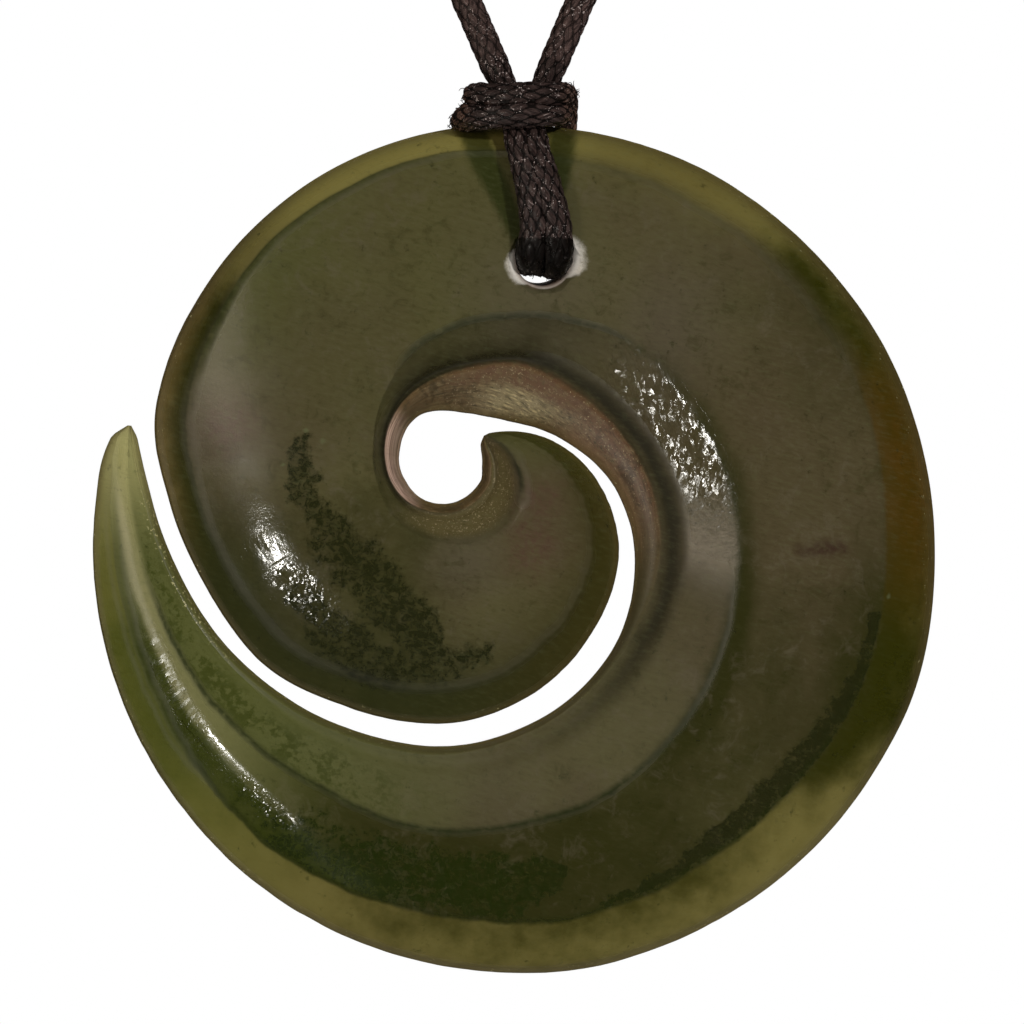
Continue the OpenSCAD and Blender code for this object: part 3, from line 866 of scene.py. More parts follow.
def stone_bevel(s):
    """Light that the thin outer bevel lets through, painted in as light olive, with dark green or brown from
    place to place.
    """
    place = s["across"] + (s.fine - 0.5) * 0.12
    crisp, gradual = s.ramp(place, 2.97, 3.10), s.ramp(place, 2.80, 3.55)
    outward = s.ramp(s["across"], 3.0, 3.95)
    inward = s["inward_dark"] * (1 - outward) * -0.75
    # painted light through the bevel, more of it towards its thin outer edge
    light = s["light"] + inward + (s.middle - 0.5) * 0.9 + outward * 0.22
    shade = s.mix(s.ramp(light, 0.0, 1.0), BEVEL_DARK, s.mix(s["pale"], BEVEL_GLOW, BEVEL_PALE_GLOW))
    brown = s.mix(s.ramp(s["turn"], 4.7, 5.0), BEVEL_BROWN, BEVEL_TAN)
    shade = s.mix(s["brown"] * s.ramp(s.middle, 0.3, 0.7, 0.6, 1.0), shade, brown)
    s.lay(s["faded"] * gradual + (1 - s["faded"]) * crisp, shade)
    slope = s.ramp(s["turn"], 5.35, 5.7) * s.ramp(s["across"], 2.45, 3.2)
    slope = slope * s.ramp(s["turn"], 7.0, 7.3, 1.0, 0.0)
    s.lay(slope * 0.8, s.mix(s.ramp(s["turn"], 6.2, 6.7), STRIP_GREEN, HOOK_GREEN))


def stone_tail(s):
    """The thin tail, painted lighter where light comes through it: green, with a pale crest band and a paler
    tip.
    """
    # painted light through the thin tail: a lighter green on it and on its edge
    s.lay(s["tail"] * s.ramp(s["across"], 3.0, 3.1, 0.85, 0.2), TAIL_GREEN_GLOW)
    s.lay(s["tail"] * s.ramp(s["across"], 3.0, 3.1, 0.0, 0.5), TAIL_EDGE_GLOW)
    s.lay(s["flank"] * s.ramp(s.middle, 0.3, 0.6, 0.6, 0.95), MOSS_LIGHT)
    s.lay(s["glade"] * s.ramp(s.middle + s.fine, 1.08, 0.86, 0.0, 0.7), MOSS_LIGHT)
    s.lay(s["crest"] * s.ramp(s.fine, 0.3, 0.6, 0.75, 0.95), CREST)
    # painted light through the thinnest part, the tip
    s.lay(s.ramp(s["turn"], 1.74, 2.0, 0.8, 0.0), TIP_GLOW)
    s.lay(s["hook"] * 0.5, OLIVE_GREEN)


def stone_scoop(s):
    """The scoop beside the slot: a trough darkened with painted shade, then a facet of plain stone, and a
    ring round the eye.
    """
    place = s["across"] + (s.middle - 0.5) * 0.16 + (s.fine - 0.5) * 0.10
    # painted shade in the trough beside the top of the wall, and over the scoop above the eye, which faces
    # down
    trough = s.band(place, 1.03, 1.28, 0.13) * s.ramp(s["turn"], 2.7, 3.3) * s.ramp(s["across"], 0.98, 1.02)
    s.lay(trough * 0.92, SHADE_AND_DARK_OLIVE)
    s.lay(s["shaded"] * s.ramp(s.middle, 0.3, 0.7, 0.8, 0.5), SHADE_AND_DARK_OLIVE)
    ring = s.band(s["across"], 0.75, 1.75, 0.15) * s.ramp(s["turn"], 5.8, 6.3)
    s.lay(ring * 0.85, RING_BROWN)
    s.lay(ring * s.ramp(s.specks, 0.58, 0.68) * 0.55, GOLD)
    # painted shade along the top edge of the wall
    s.lay(s["wall_top_shade"] * 0.85, SHADE_AND_DARK_OLIVE)


def stone_wall(s):
    """The steep wall of the slot: brown and ruddy with gold specks, a pale pocket, pinkish round the eye."""
    wall = s.ramp(s["across"], 0.95, 1.04, 1.0, 0.0) * s.ramp(s["turn"], 3.2, 3.6)
    streaks = s.noise(1.0, 3, 0.65, s.vector(s["along"] * 0.5, s["across"] * 13.0, 0.0))
    brushed = s.noise(1.0, 3, 0.6, s.vector(s["along"] * 0.8, s["across"] * 24.0, 3.0))
    brown = s.mix(s["ruddy"], WALL_BROWN, WALL_RUDDY)
    brown = s.mix(s.ramp(streaks + (s.fine - 0.5) * 0.8, 0.42, 0.80, 0.0, 0.4), brown, POCKET)
    brown = s.mix(s.ramp(s.middle + (s.fine - 0.5) * 0.9, 0.50, 0.28, 0.0, 0.5), brown, SHADE_AND_DARK_OLIVE)
    s.lay(wall * 0.9, brown)
    pink = s.mix(s.ramp(streaks, 0.30, 0.62), WALL_PINK, WALL_LIGHT)
    s.lay(s["pink"] * s.ramp(streaks, 0.25, 0.7, 0.7, 0.95), pink)
    pocket = s["pocket"] * s.ramp(streaks + (s.fine - 0.5) * 0.6, 0.25, 0.60, 0.45, 1.2)
    s.lay(pocket, POCKET)
    s.lay(pocket * s.ramp(brushed, 0.54, 0.66, 0.0, 0.75), GILT)
    s.lay(wall * s.ramp(brushed, 0.46, 0.34, 0.0, 0.55), SHADE_AND_DARK_OLIVE)
    s.lay(s["dusky"] * s.ramp(s.middle + s.fine, 0.85, 1.15, 0.75, 0.25), WALL_RUDDY)
    s.lay(s["lit_edge"] * s.ramp(streaks, 0.3, 0.6, 0.35, 0.85), EDGE_TAN)
    s.lay(s.ramp(s.specks, 0.62, 0.70) * s.ramp(s["turn"], 4.6, 4.3) * wall * 0.75, GOLD)


def stone_chalk(s):
    """Chalk dust round the mouth of the hole: a thin line, and soft crescents at the right and lower left."""
    x = s.coord("X") - float(HOLE_AT[0] + DISC[0])
    z = s.coord("Z") - float(HOLE_AT[1] + DISC[2])
    away = s.math("SQRT", x * x + z * z)

    def toward(angle):
        return (x * math.cos(angle) + z * math.sin(angle)) / away

    width = s.ramp(toward(0.12), 0.62, 1.0, 0.06, 0.95) + s.ramp(toward(-2.85), 0.68, 1.0, 0.0, 0.62)
    out = (away - HOLE_R) / width
    soft = s.ramp(out + (s.fine - 0.5) * 0.7, 1.10, 0.25) * s.ramp(s.fine, 0.25, 0.6, 0.8, 1.0)
    line = s.ramp(away, HOLE_R + 0.16, HOLE_R + 0.05) * s.ramp(toward(-2.2), -0.3, 0.3)
    return s.math("MAXIMUM", soft, line) * s["front"]


def stone_marks(s, chalk):
    """Moss green and mauve clouds, painted shadows of the hitch's legs, dark creases, a tan rim, chips and
    the chalky mouth of the hole.
    """
    wisps = s.noise(1.5, 4, 0.7)
    torn = s["moss"] + (s.fine - 0.5) * 0.9 + (s.middle - 0.5) * 0.9 + (wisps - 0.5) * 1.7
    veins = s.ramp(s.noise(2.6, 4, 0.75, distortion=0.8), 0.36, 0.58, 0.30, 0.94)
    veins = s.math("MAXIMUM", veins, s["solid"] * 0.8)
    s.lay(s.ramp(torn, 0.22, 0.85) * veins, s.mix(s.ramp(s["turn"], 2.7, 3.1), MOSS_AND_SHADOW_GREEN, MOSS_GREY))
    s.lay(s["purple"] * s.ramp(s.fine + wisps, 0.75, 1.25, 0.25, 0.65), MAUVE)
    s.lay(s["streak"] * s.ramp(s.fine, 0.3, 0.6, 0.35, 0.85), STREAK_PURPLE)
    # painted shadows of the hitch's legs, in the moss green
    s.lay(s["leg"] * 0.75, MOSS_AND_SHADOW_GREEN)
    s.lay(s["line"] * s.ramp(s.fine, 0.25, 0.55, 0.35, 0.95), LINE_GREEN)
    s.lay(s["rim"] * s["front"] * 0.5, RIM_TAN)
    s.lay(chalk * 0.97, CHALKY)
    s.lay(s["bore"] * 0.8, WALL_PINK)
    s.lay(s.ramp(s["chip"], 0.4, 0.8, 0.0, 0.6), PATINA)


def stone_grain(s, fibres):
    """Short fibres and pale specks in the stone, bright nicks along its rim, and painted sparkle by the
    tail's inner edge.
    """
    faint = s.ramp(s["gloom"], 0.1, 0.8, 1.0, 0.35)
    s.lay(s.ramp(fibres, 0.46, 0.72, 0.0, 0.15) * faint, PATINA)
    s.lay(s.ramp(fibres, 0.50, 0.28, 0.0, 0.17) * faint, LINE_GREEN)
    points = s.noise(6.0, 1, 0.6)
    s.lay(s.ramp(points, 0.81, 0.85) * 0.6, PATINA)
    nicks = s.ramp(points, 0.70, 0.75) * s["rim"] * s["front"]
    # the nicks along the rim, and painted sparkle by the tail's inner edge
    s.lay(s.math("MAXIMUM", nicks, s.ramp(points, 0.62, 0.67) * s["sparkle"]) * 0.8, NICK_AND_SPARKLE)


def stone_relief(s, fibres, chalk):
    """Fine grain all over, glinting facets where it is cut or crackled, and soft pebbles in the scoop."""
    wander = (s.fine - 0.5) * 0.8
    glint = s.facets(s["cell_x"] + wander, s["cell_z"] + wander)
    pebbles = s.noise(2.2, 2, 0.5) * s.band(s["across"], 1.3, 1.95, 0.08)
    grain = s.fine * 0.35 + s.specks * 0.25 + fibres * 0.10 + chalk * 0.4
    return s.bump(grain * 0.012 + glint * s["cell"] + pebbles * 0.025, 1.0, 1.0)


def stone_roughness(s, chalk):
    """Polished stone, duller on the wall, the ridges, the cut lines and the dust."""
    wall = s.ramp(s["across"], 1.0, 1.15, 1.0, 0.0) * s["front"]
    matte = s.math("MAXIMUM", s["ridge"] * 0.40, wall * 0.32)
    crest = s["crest"] * (1 - s["polish"]) * 0.16
    polished = s.ramp(s.middle, 0.3, 0.7, 0.11, 0.15) + chalk * 0.4 + matte + crest
    return polished + s["satin"] * 0.11 + s["unpolished"] * 0.2 + s["shine"] * -0.03 + s["dull"] * 0.75


def stone_material():
    s = Shader("jade")
    s.broad, s.middle = s.noise(0.10, 2), s.noise(0.55, 4, 0.6)
    s.fine, s.specks = s.noise(3.0, 3, 0.65), s.noise(9.0, 2, 0.7)
    for part in (stone_body, stone_bevel, stone_tail, stone_scoop, stone_wall):
        part(s)
    chalk = stone_chalk(s)
    slanted = s.coord("Z") + s.coord("X") * 0.25
    fibres = s.noise(1.0, 3, 0.65, s.vector(s.coord("X") * 1.6, 0.0, slanted * 5.0))
    stone_marks(s, chalk)
    stone_grain(s, fibres)
    return s.finish(stone_roughness(s, chalk), stone_relief(s, fibres, chalk), 1.6)


STRANDS = 8  # strands of the braid each way round
LOZENGE = 1.25  # mm of cord that one visible lozenge takes
RELIEF = 0.18  # mm from the top of a strand to the groove beside it
CROWN_PART, WEAVE_PART = 0.62, 0.38  # shares of that height from a strand's own round and from over and under


def cord_strands(s):
    """For the shader: the braid's height, its strand's round, and the place across and along the strand."""
    turns = s.math("ARCTAN2", s["round_sin"], s["round_cos"]) / (2 * math.pi)
    around, along = turns * STRANDS, s["along"] / LOZENGE
    u, v = around + along, around - along
    fu, fv = s.math("FRACT", u), s.math("FRACT", v)
    cell = s.math("FLOORED_MODULO", s.math("FLOOR", u) + s.math("FLOOR", v), 2.0)
    over = 1 - cell * 2.0

    def high(across_strand, other, side):
        x = across_strand * 2.0 - 1.0
        crown = s.math("SQRT", s.math("SUBTRACT", 1.0, x * x, clamp=True))
        return crown * CROWN_PART + s.math("SINE", other * math.pi) * over * (WEAVE_PART * side), crown

    high_u, crown_u = high(fu, fv, 1)
    high_v, crown_v = high(fv, fu, -1)
    first = s.math("GREATER_THAN", high_u, high_v)

    def pick(a, b):
        return first * a + (1 - first) * b

    return s.math("MAXIMUM", high_u, high_v), pick(crown_u, crown_v), pick(fu, fv), pick(v, u + 40.0)


def cord_material(name, dark, light, depth=0.92):
    """Waxed braided cord: fine filaments in each strand, painted shade in the grooves, glints of wax painted
    here and there, painted backlight on the band's ends and painted shade in the hole.
    """
    s = Shader(name)
    height, crown, share, run = cord_strands(s)
    filaments = s.noise(1.0, 3, 0.6, s.vector(share * 5.0, run * 1.1, 0.0))
    patch, crumbs = s.noise(0.6, 3), s.noise(8.0, 2, 0.6)
    groove = s.math("MAXIMUM", s.ramp(crown, 0.90, 0.36), s.ramp(height, 0.70, 0.57))
    s.color = s.mix(s.ramp(filaments, 0.36, 0.66), dark, light)
    s.lay(s.ramp(patch, 0.42, 0.7, 0.0, 0.5), dark)
    # painted backlight: lighter brown on the band's ends and loose fibres, where light comes through them
    backlit_fray = s.mix(s.ramp(filaments, 0.40, 0.62), FRAY_DARK, FRAY_BACKLIT)
    s.lay(s["fray_backlit"] * s.ramp(s.noise(2.2, 3, 0.6), 0.36, 0.56, 0.35, 1.0), backlit_fray)
    # painted shade in the grooves between the strands, as dark as depth says
    s.lay(groove * depth, GROOVE_SHADE)
    # painted glints: pale specks and short lines where the wax would catch the light
    glints = s.ramp(crumbs, 0.62, 0.68) * s.ramp(s.noise(1.1, 2, 0.5), 0.46, 0.58)
    lines = s.ramp(filaments, 0.60, 0.68) * s.ramp(s.noise(2.6, 2, 0.5), 0.54, 0.62) * 0.6
    s.lay(s.math("MAXIMUM", glints, lines), PAINTED_GLINT)
    # painted shade where the cord goes down into the hole
    s.lay(s.ramp(s["inside"] + (patch - 0.5) * 1.2, 0.25, 0.6) * 0.92, HOLE_SHADE)
    normal = s.bump(s.ramp(groove, 0.0, 1.0, 1.0, 0.0) * 1.0 + height * 0.3, 0.9, 0.06)
    normal = s.bump(filaments + crumbs * 0.8, 0.8, 0.025, Normal=normal)
    return s.finish(s.ramp(s.noise(2.4, 3, 0.6), 0.38, 0.58, 0.26, 0.62), normal, 1.42)


# The cord
LEFT_LEAVE, RIGHT_LEAVE = DISC + [-1.14, -0.5, 26.2], DISC + [2.09, -0.5, 26.2]
LEFT_SIDE, RIGHT_SIDE = np.array([-52.6, -68.6, -66.0]), np.array([52.6, -68.6, -66.0])
LEAD = 1.1  # mm that each strand runs on straight into the hitch
CORD_R, PINCHED_R = 0.78, 0.72  # radius of the free cord, and where the hitch starts to pinch it
# The hitch's route, as x, y, z from the middle of the disc and the cord's radius there
HITCH = np.array([
    [-0.38, -0.90, 24.20, 0.60], [-0.16, -1.35, 23.30, 0.60], [0.02, -2.36, 22.55, 0.62],
    [0.22, -3.18, 21.60, 0.64], [0.66, -3.40, 20.00, 0.67], [1.02, -3.40, 17.60, 0.68],
    [0.96, -3.10, 16.35, 0.72], [0.86, -2.20, 15.62, 0.71], [0.86, 1.40, 15.55, 0.71],
    [0.78, 2.55, 16.35, 0.66], [0.35, 3.00, 17.50, 0.62], [-1.50, 3.00, 20.70, 0.60],
    [-2.40, 2.75, 22.00, 0.60], [-2.75, 1.70, 22.90, 0.62], [-2.84, 0.10, 23.10, 0.62],
    [-2.56, -1.70, 23.16, 0.66], [-1.50, -3.00, 23.28, 0.69], [0.40, -3.42, 23.36, 0.70],
    [1.90, -3.00, 23.42, 0.68], [2.42, -1.90, 23.44, 0.64], [2.45, -0.70, 23.45, 0.60],
    [1.80, 0.30, 23.70, 0.58], [0.50, 0.55, 24.10, 0.58], [-1.00, 0.40, 24.50, 0.60],
    [-1.95, -0.40, 24.52, 0.64], [-2.10, -1.60, 24.40, 0.67], [-1.10, -2.60, 24.40, 0.68],
    [0.40, -2.95, 24.46, 0.69], [1.90, -2.60, 24.48, 0.68], [2.50, -1.20, 24.50, 0.66],
    [2.72, 0.30, 24.50, 0.62], [2.80, 1.40, 24.00, 0.60], [2.75, 2.10, 22.95, 0.60],
    [2.70, 2.70, 21.70, 0.60], [2.45, 3.00, 20.30, 0.62], [2.25, 2.95, 17.30, 0.66],
    [2.21, 2.45, 16.00, 0.70], [2.20, 1.40, 15.40, 0.71], [2.20, -2.10, 15.40, 0.71],
    [2.24, -3.05, 16.05, 0.72], [2.28, -3.40, 17.30, 0.69], [1.63, -3.40, 20.00, 0.67],
    [1.16, -3.18, 21.60, 0.64], [1.00, -2.36, 22.55, 0.62], [1.06, -1.35, 23.30, 0.60],
    [1.25, -0.90, 24.20, 0.60],
])
NAPE_Y = 2.0
NECK_SIDE = np.array([
    [6, NAPE_Y, 0], [15, 1.5, -0.2], [28, -2.4, -1.4], [41, -10.3, -4.8], [51.5, -21.5, -10.8],
    [58, -35, -20], [60, -48.5, -32.5], [57.8, -60.5, -48],
])
AROUND_N = 48  # points round the cord
# Length of a ring of the mesh in the hitch, the knot, the neck cord near the stone and the rest of it, in mm
HITCH_STEP, KNOT_STEP, NEAR_STEP, NECK_STEP = 0.07, 0.17, 0.1, 0.31
NEAR = 14.0  # mm at each end of the neck cord that count as near the stone


def spline(points, radii, step):
    """Points, radii and lengths on a smooth curve through the given points, step(length, total) mm apart."""
    points = np.asarray(points, dtype=float)
    padded = np.vstack([2 * points[0] - points[1], points, 2 * points[-1] - points[-2]])
    fine_p, fine_r = [], []
    for i in range(len(points) - 1):
        a, b, c, d = padded[i:i + 4]
        ab, bc, cd = (max(np.linalg.norm(q - p), 1e-6) ** 0.5 for p, q in ((a, b), (b, c), (c, d)))
        n = max(4, int(np.linalg.norm(c - b) / 0.03))
        u = (np.arange(n) / n)[:, None]
        # centripetal form, which never overshoots between close points
        m1 = (c - b) - bc * ((c - a) / (ab + bc)) + bc * ((b - a) / ab)
        m2 = (c - b) + bc * ((d - c) / cd) - bc * ((d - b) / (bc + cd))
        fine_p.append((2 * u ** 3 - 3 * u ** 2 + 1) * b + (u ** 3 - 2 * u ** 2 + u) * m1
                      + (3 * u ** 2 - 2 * u ** 3) * c + (u ** 3 - u ** 2) * m2)
        fine_r.append(mix(radii[i], radii[i + 1], smooth(0, 1, u[:, 0])))
    p = np.vstack(fine_p + [points[-1:]])
    r = np.concatenate(fine_r + [radii[-1:]])
    s = np.concatenate([[0], np.cumsum(np.linalg.norm(np.diff(p, axis=0), axis=1))])
    total = s[-1]
    marks = [0.0]
    while marks[-1] < total:
        marks.append(marks[-1] + step(marks[-1], total))
    marks = np.array(marks) * total / marks[-1]
    return np.stack([np.interp(marks, s, p[:, k]) for k in range(3)], 1), np.interp(marks, s, r), marks


def side_vectors(p):
    """The path's direction at each point, and a sideways one that turns no more than the path makes it."""
    ways = np.gradient(p, axis=0)
    ways /= np.linalg.norm(ways, axis=1)[:, None]
    side = np.cross(ways[0], [0, 0, 1.0])
    out = []
    for w in ways:
        side = side - (side @ w) * w
        side /= np.linalg.norm(side)
        out.append(side)
    return ways, np.array(out)


def braid_height(around, along):
    """Height 0-1 of a braid's surface, where around is in turns and along in mm.

    Two families of strands cross, and each passes over and under the other in turn.
    """
    u = around * STRANDS + along / LOZENGE
    v = around * STRANDS - along / LOZENGE
    fu, fv = u - np.floor(u), v - np.floor(v)
    over = np.where((np.floor(u) + np.floor(v)) % 2 == 0, 1, -1)
    high_u = CROWN_PART * np.sqrt(1 - (2 * fu - 1) ** 2) + WEAVE_PART * np.sin(math.pi * fv) * over
    high_v = CROWN_PART * np.sqrt(1 - (2 * fv - 1) ** 2) - WEAVE_PART * np.sin(math.pi * fu) * over
    return np.clip(np.maximum(high_u, high_v), 0, 1)


def squarer(offset, toward, weight):
    """Sections made squarer on the side toward a neighbour, in the plane of that side and the depth."""
    a, b = offset @ toward, offset[..., 1]
    length = np.maximum(np.hypot(a, b), 1e-6)
    grown = (np.abs(a / length) ** 5 + np.abs(b / length) ** 5) ** -0.2 - 1
    grown = np.where(a > 0, grown * weight[:, None], 0)
    return offset + grown[..., None] * (a[..., None] * toward + b[..., None] * np.array([0, 1.0, 0]))


BAND_FROM, BAND_SEAM = 22.9, 23.90  # heights of the band's lower side and of the seam between its turns
FLOOR_X = [0.1, 0.5, 1.0, 1.5, 2.1, 2.6, 2.9]
FLOOR_HEIGHT = [15.1, 14.80, 14.86, 14.70, 14.60, 14.72, 15.0]  # lowest that the cords reach in the hole
PARTING_Z = [15.4, 17.4, 20.0, 21.6, 22.55]
PARTING_X = [1.53, 1.66, 1.15, 0.70, 0.51]  # where the two legs in front meet


def press(points, p):
    """Strands that lie side by side press flat on each other, so two of them read as one thick braid.

    points are (rings, sides, 3) and p the path's middle line, both in mm from the middle of the disc.
    """
    first = np.arange(len(p)) < len(p) // 2
    y, z = p[:, 1], p[:, 2]
    below = z < BAND_FROM
    # the two legs in front, and both strands in the hole
    leg = below * smooth(16.0, 16.8, z) * (1 - smooth(22.2, BAND_FROM, z)) * (y < -1.5)
    bore = below * (1 - smooth(16.1, 16.9, z))
    offset = points - p[:, None]
    offset[..., 0] *= 1 + 0.12 * leg[:, None]
    offset[..., 1] *= 1 - 0.08 * leg[:, None]
    side, up = np.array([1.0, 0, 0]), np.array([0, 0, 1.0])
    for mask, way in ((first, side), (~first, -side)):
        offset = squarer(offset, way, leg * mask)
    offset[..., 0] *= 1 + 0.25 * bore[:, None]
    offset[..., 2] *= 1 + 0.30 * bore[:, None]
    # the two turns of the band
    turn = (y < -1.0) * (z > 22.95) * (1 - smooth(2.5, 2.9, np.abs(p[:, 0])))
    low, high = turn * (z < BAND_SEAM), turn * (z > BAND_SEAM)
    offset = squarer(squarer(offset, up, low), -up, high)
    notch = low * smooth(1.9, 2.6, -p[:, 0])
    offset[..., 2] *= 1 + 0.45 * notch[:, None] * (offset[..., 2] > 0)
    out = p[:, None] + offset
    fit_hole(out, bore[:, None] > 0.5)
    x, y, z = out[..., 0], out[..., 1], out[..., 2]
    parting = np.interp(z, PARTING_Z, PARTING_X)
    parting = parting + 0.16 * (np.abs((z / 1.1) % 1 - 0.5) - 0.25) * smooth(16.5, 17.5, z)
    parting = parting + 0.10 * np.sin(1.6 * y) * (1 - smooth(16.0, 17.0, z))
    legs = (leg + bore > 0.02)[:, None]
    x[:] = np.where(legs & first[:, None], np.minimum(x, parting - 0.01), x)
    x[:] = np.where(legs & ~first[:, None], np.maximum(x, parting + 0.01), x)
    seam = BAND_SEAM + 0.08 * np.sin(1.9 * x + 0.8) + 0.10 * np.abs((x / 1.25) % 1 - 0.5)
    z[:] = np.where(low[:, None] > 0.02, np.minimum(z, seam - 0.01), z)
    z[:] = np.where(high[:, None] > 0.02, np.maximum(z, seam + 0.01), z)
    return out


def fit_hole(points, within):
    """Keeps the strands in the hole clear of its wall, and ends them at an uneven lower side."""
    x, y, z = points[..., 0], points[..., 1], points[..., 2]
    middle_x, middle_z = hole_middle(y)
    away = np.hypot(x - middle_x, z - middle_z)
    room = 1.38 + 0.7 * (np.abs(y) - 2.5).clip(0)
    share = np.where(within & (away > room), room / np.maximum(away, 1e-6), 1)
    x[:] = middle_x + (x - middle_x) * share
    z[:] = middle_z + (z - middle_z) * share
    ragged = 0.05 * np.sin(9.0 * x + 2.0 * y) + 0.03 * np.sin(23.0 * x + 3.0 * y)
    z[:] = np.where(within, np.maximum(z, np.interp(x, FLOOR_X, FLOOR_HEIGHT) + ragged), z)


HAIR_STEPS, HAIR_SIDES = 7, 3


def hairs(points, p, seed):
    """Loose curled fibres on the ends of the band and under the mouth of the hole, as thin tubes."""
    rng = np.random.default_rng(seed)
    x, y, z = points[..., 0], points[..., 1], points[..., 2]
    ends = np.argwhere((np.abs(x - 0.05) > 2.6) & (z > 22.5) & (z < 25.0) & (y < 0.6))
    mouth = np.argwhere((z < 14.95) & (y < -2.0) & (y > -3.3))
    out, faces = [], []
    for spots, count, size, reach in ((ends, 260, 0.030, 0.070), (mouth, 110, 0.026, 0.055)):
        for n in rng.integers(0, len(spots), count):
            ring, k = spots[n]
            away = points[ring, k] - p[ring]
            away /= np.linalg.norm(away)
            way = np.cross(away, rng.normal(0, 1, 3)) + 0.35 * away
            at = points[ring, k] - 0.03 * away
            first = len(out)
            for step in range(HAIR_STEPS):
                way = way / np.linalg.norm(way) + rng.normal(0, 0.25, 3) - 0.16 * away
                side = np.cross(way, away + 0.01)
                side /= np.linalg.norm(side)
                other = np.cross(way, side)
                other /= np.linalg.norm(other)
                for corner in range(HAIR_SIDES):
                    a = 2 * math.pi * corner / HAIR_SIDES
                    out.append(at + size * (1 - 0.08 * step) * (math.cos(a) * side + math.sin(a) * other))
                at = at + reach * way / np.linalg.norm(way)
            # turned over, so that the faces look outward
            for face in ring_faces(HAIR_STEPS, HAIR_SIDES):
                faces.append([first + k for k in (face[0], *face[:0:-1])])
    return np.array(out), faces


def braid(name, p, radii, lengths, ways, sides, hitch=False):
    """A braided cord along p, as a tube with the braid raised on it. The tube's faces look inward."""
    angle = 2 * math.pi * np.arange(AROUND_N) / AROUND_N
    along, around = np.meshgrid(lengths, angle / (2 * math.pi), indexing="ij")
    uneven = along_noise(lengths, 1.1, 40.0)[:, None]
    r = radii[:, None] * (1.05 + 0.035 * uneven) - RELIEF * (1 - braid_height(around, along))
    binormal = np.cross(ways, sides)
    out = np.cos(angle)[None, :, None] * sides[:, None] + np.sin(angle)[None, :, None] * binormal[:, None]
    points = p[:, None] + r[..., None] * out - DISC
    faces = ring_faces(len(p), AROUND_N)
    stray = np.zeros((0, 3))
    if hitch:
        points = press(points, p - DISC)
        stray, more = hairs(points, p - DISC, 11)
        faces += [[n + points.shape[0] * AROUND_N for n in f] for f in more]
    x, _, z = (points[..., k].reshape(-1) for k in range(3))
    # where backlight is painted on the band's ends
    ends = smooth(2.25, 3.0, np.abs(x - 0.05)) * (z > 22.4) * (z < 25.2)
    # where shade is painted on the cord going down into the hole
    inside = (1 - smooth(16.35, 17.1, z)) * (z > 0)
    ob = add_mesh(name, np.vstack([points.reshape(-1, 3), stray]) + DISC, faces)
    on_braid = {
        "along": along.reshape(-1), "round_cos": np.tile(np.cos(angle), len(p)),
        "round_sin": np.tile(np.sin(angle), len(p)), "fray_backlit": ends * hitch, "inside": inside * hitch,
    }
    on_hairs = {"round_cos": 1, "fray_backlit": 1}
    rest = np.zeros(len(stray))
    set_attributes(ob.data, {
        key: np.concatenate([value, rest + on_hairs.get(key, 0)]) for key, value in on_braid.items()
    })
    ob.data.shade_smooth()
    ob.data.set_sharp_from_angle(angle=math.radians(75))
    return ob


def cord_path():
    """The hitch's points and radii, and the points from its right strand round the neck to its left one."""
    def lead(leave, side):
        return leave + LEAD * (leave - side) / np.linalg.norm(leave - side)

    hitch = np.vstack([LEFT_LEAVE, lead(LEFT_LEAVE, LEFT_SIDE), HITCH[:, :3] + DISC,
                       lead(RIGHT_LEAVE, RIGHT_SIDE), RIGHT_LEAVE])
    hitch_r = np.concatenate([[CORD_R, PINCHED_R], HITCH[:, 3], [PINCHED_R, CORD_R]])
    parts = (0.25, 0.5, 0.75)
    neck = np.vstack([
        RIGHT_LEAVE, [mix(RIGHT_LEAVE, RIGHT_SIDE, u) for u in parts], RIGHT_SIDE, NECK_SIDE[::-1],
        NECK_SIDE * [-1, 1, 1], LEFT_SIDE, [mix(LEFT_LEAVE, LEFT_SIDE, u) for u in parts[::-1]], LEFT_LEAVE,
    ])
    return hitch, hitch_r, neck


# The knot's turns, mm from one to the next, the radius they are wound at and the cord's own radius
KNOT_TURNS, KNOT_PITCH, KNOT_R, KNOT_CORD_R = 6.6, 1.2, 1.34, 0.62


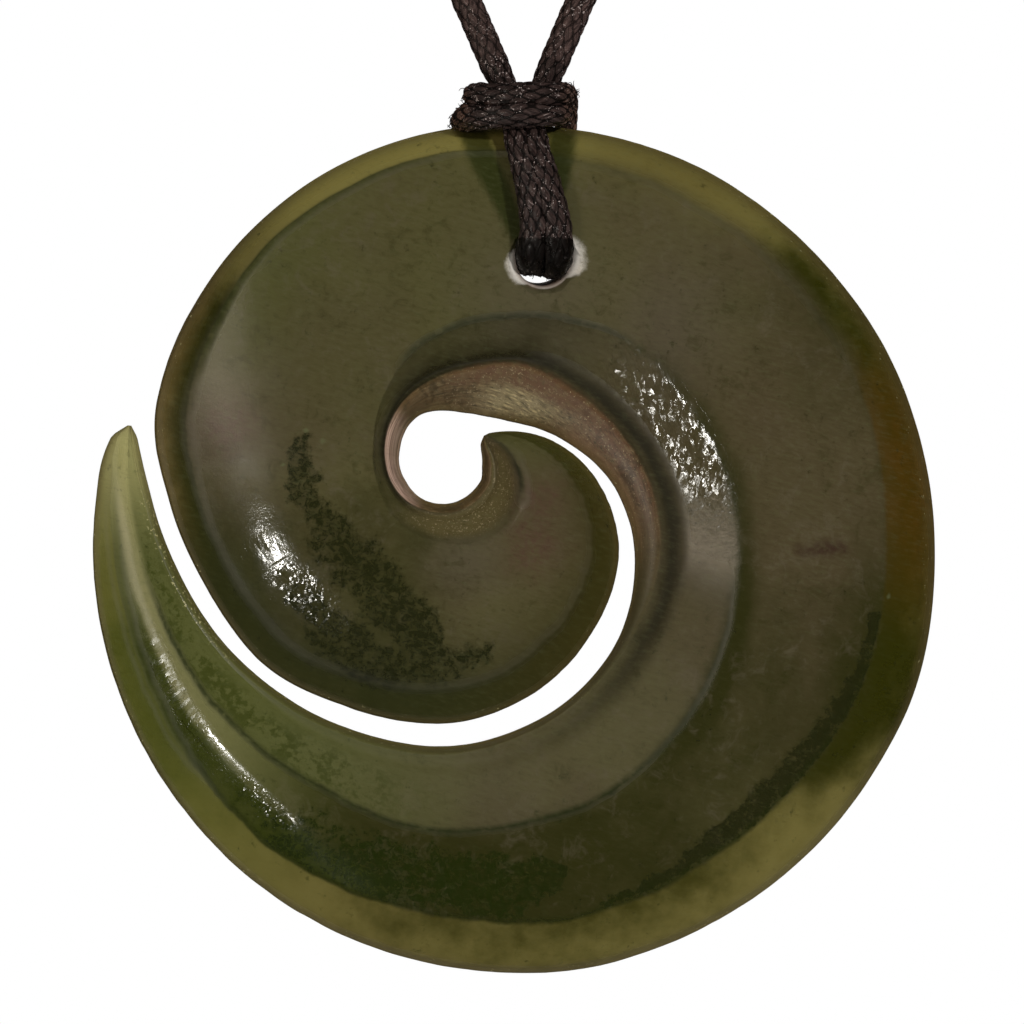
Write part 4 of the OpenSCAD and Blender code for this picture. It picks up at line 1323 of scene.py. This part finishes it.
def build_knot():
    """The knot that joins the cord behind the neck: close turns of the same cord, both ends tucked in."""
    a = np.linspace(0, 2 * math.pi * KNOT_TURNS, int(KNOT_TURNS * 20))
    tucked = smooth(0, 2.2, a) * (1 - smooth(a[-1] - 2.2, a[-1], a))
    away = mix(0.98, KNOT_R, tucked)
    x = KNOT_PITCH * (a - a[-1] / 2) / (2 * math.pi) + 0.25 * (1 - tucked) * np.sign(a - a[-1] / 2)
    route = np.stack([x, NAPE_Y + away * np.cos(a), away * np.sin(a)], 1)
    p, r, lengths = spline(route, np.full(len(route), KNOT_CORD_R), lambda s, total: KNOT_STEP)
    r = r * np.minimum(1, 0.35 + np.minimum(lengths, lengths[-1] - lengths) / 0.5)
    return braid("cord_knot", p, r, lengths, *side_vectors(p))


def closed(ways, sides, lengths):
    """The side vectors turned evenly along the loop, so that the last one meets the first."""
    first, last = sides[0], sides[-1]
    off = math.atan2(np.cross(ways[-1], last) @ first, last @ first) / (2 * math.pi)
    a = 2 * math.pi * (off * lengths / lengths[-1])[:, None]
    return np.cos(a) * sides + np.sin(a) * np.cross(ways, sides)


def build_cords():
    """The hitch and the loop round the neck, as one braid that is parted where the CAD solids meet."""
    hitch, hitch_r, neck = cord_path()

    def neck_step(s, total):
        return NEAR_STEP if min(s, total - s) < NEAR else NECK_STEP

    hitch_p, hitch_r, hitch_s = spline(hitch, hitch_r, lambda s, total: HITCH_STEP)
    neck_p, _, neck_s = spline(neck, np.full(len(neck), CORD_R), neck_step)
    whole = np.vstack([hitch_p, neck_p[1:]])
    ways, sides = side_vectors(whole)
    lengths = np.concatenate([hitch_s, hitch_s[-1] + neck_s[1:]])
    # a whole number of lozenges, so that the braid closes on itself
    lengths *= round(lengths[-1] / LOZENGE) * LOZENGE / lengths[-1]
    sides = closed(ways, sides, lengths)
    front, rest = slice(None, len(hitch_p)), slice(len(hitch_p) - 1, None)
    neck_r = np.full(len(whole[rest]), CORD_R)
    return (braid("cord_hitch", whole[front], hitch_r, lengths[front], ways[front], sides[front], hitch=True),
            braid("cord_neck", whole[rest], neck_r, lengths[rest], ways[rest], sides[rest]))


# Put together
stone = build_stone()
mark_stone(stone)
hitch_cord, neck_cord = build_cords()
nape_knot = build_knot()
wax = cord_material("waxed_braid", tone(37, 28, 26), tone(72, 57, 53))
# The same cord painted lighter for the sheen on the strands round the neck, with less shade in its grooves.
# The knot takes it too.
lit_wax = cord_material("waxed_braid_lit", tone(49, 38, 35), tone(93, 74, 69), 0.75)
for piece, node, slot, look in (
    (stone, "koru_stone", "stone", stone_material()), (hitch_cord, "hitch_cord", "cord", wax),
    (neck_cord, "neck_cord", "cord", lit_wax), (nape_knot, "nape_knot", "cord", lit_wax),
):
    piece.data.materials.clear()
    piece.data.materials.append(look)
    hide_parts(node)
    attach(piece, "root")
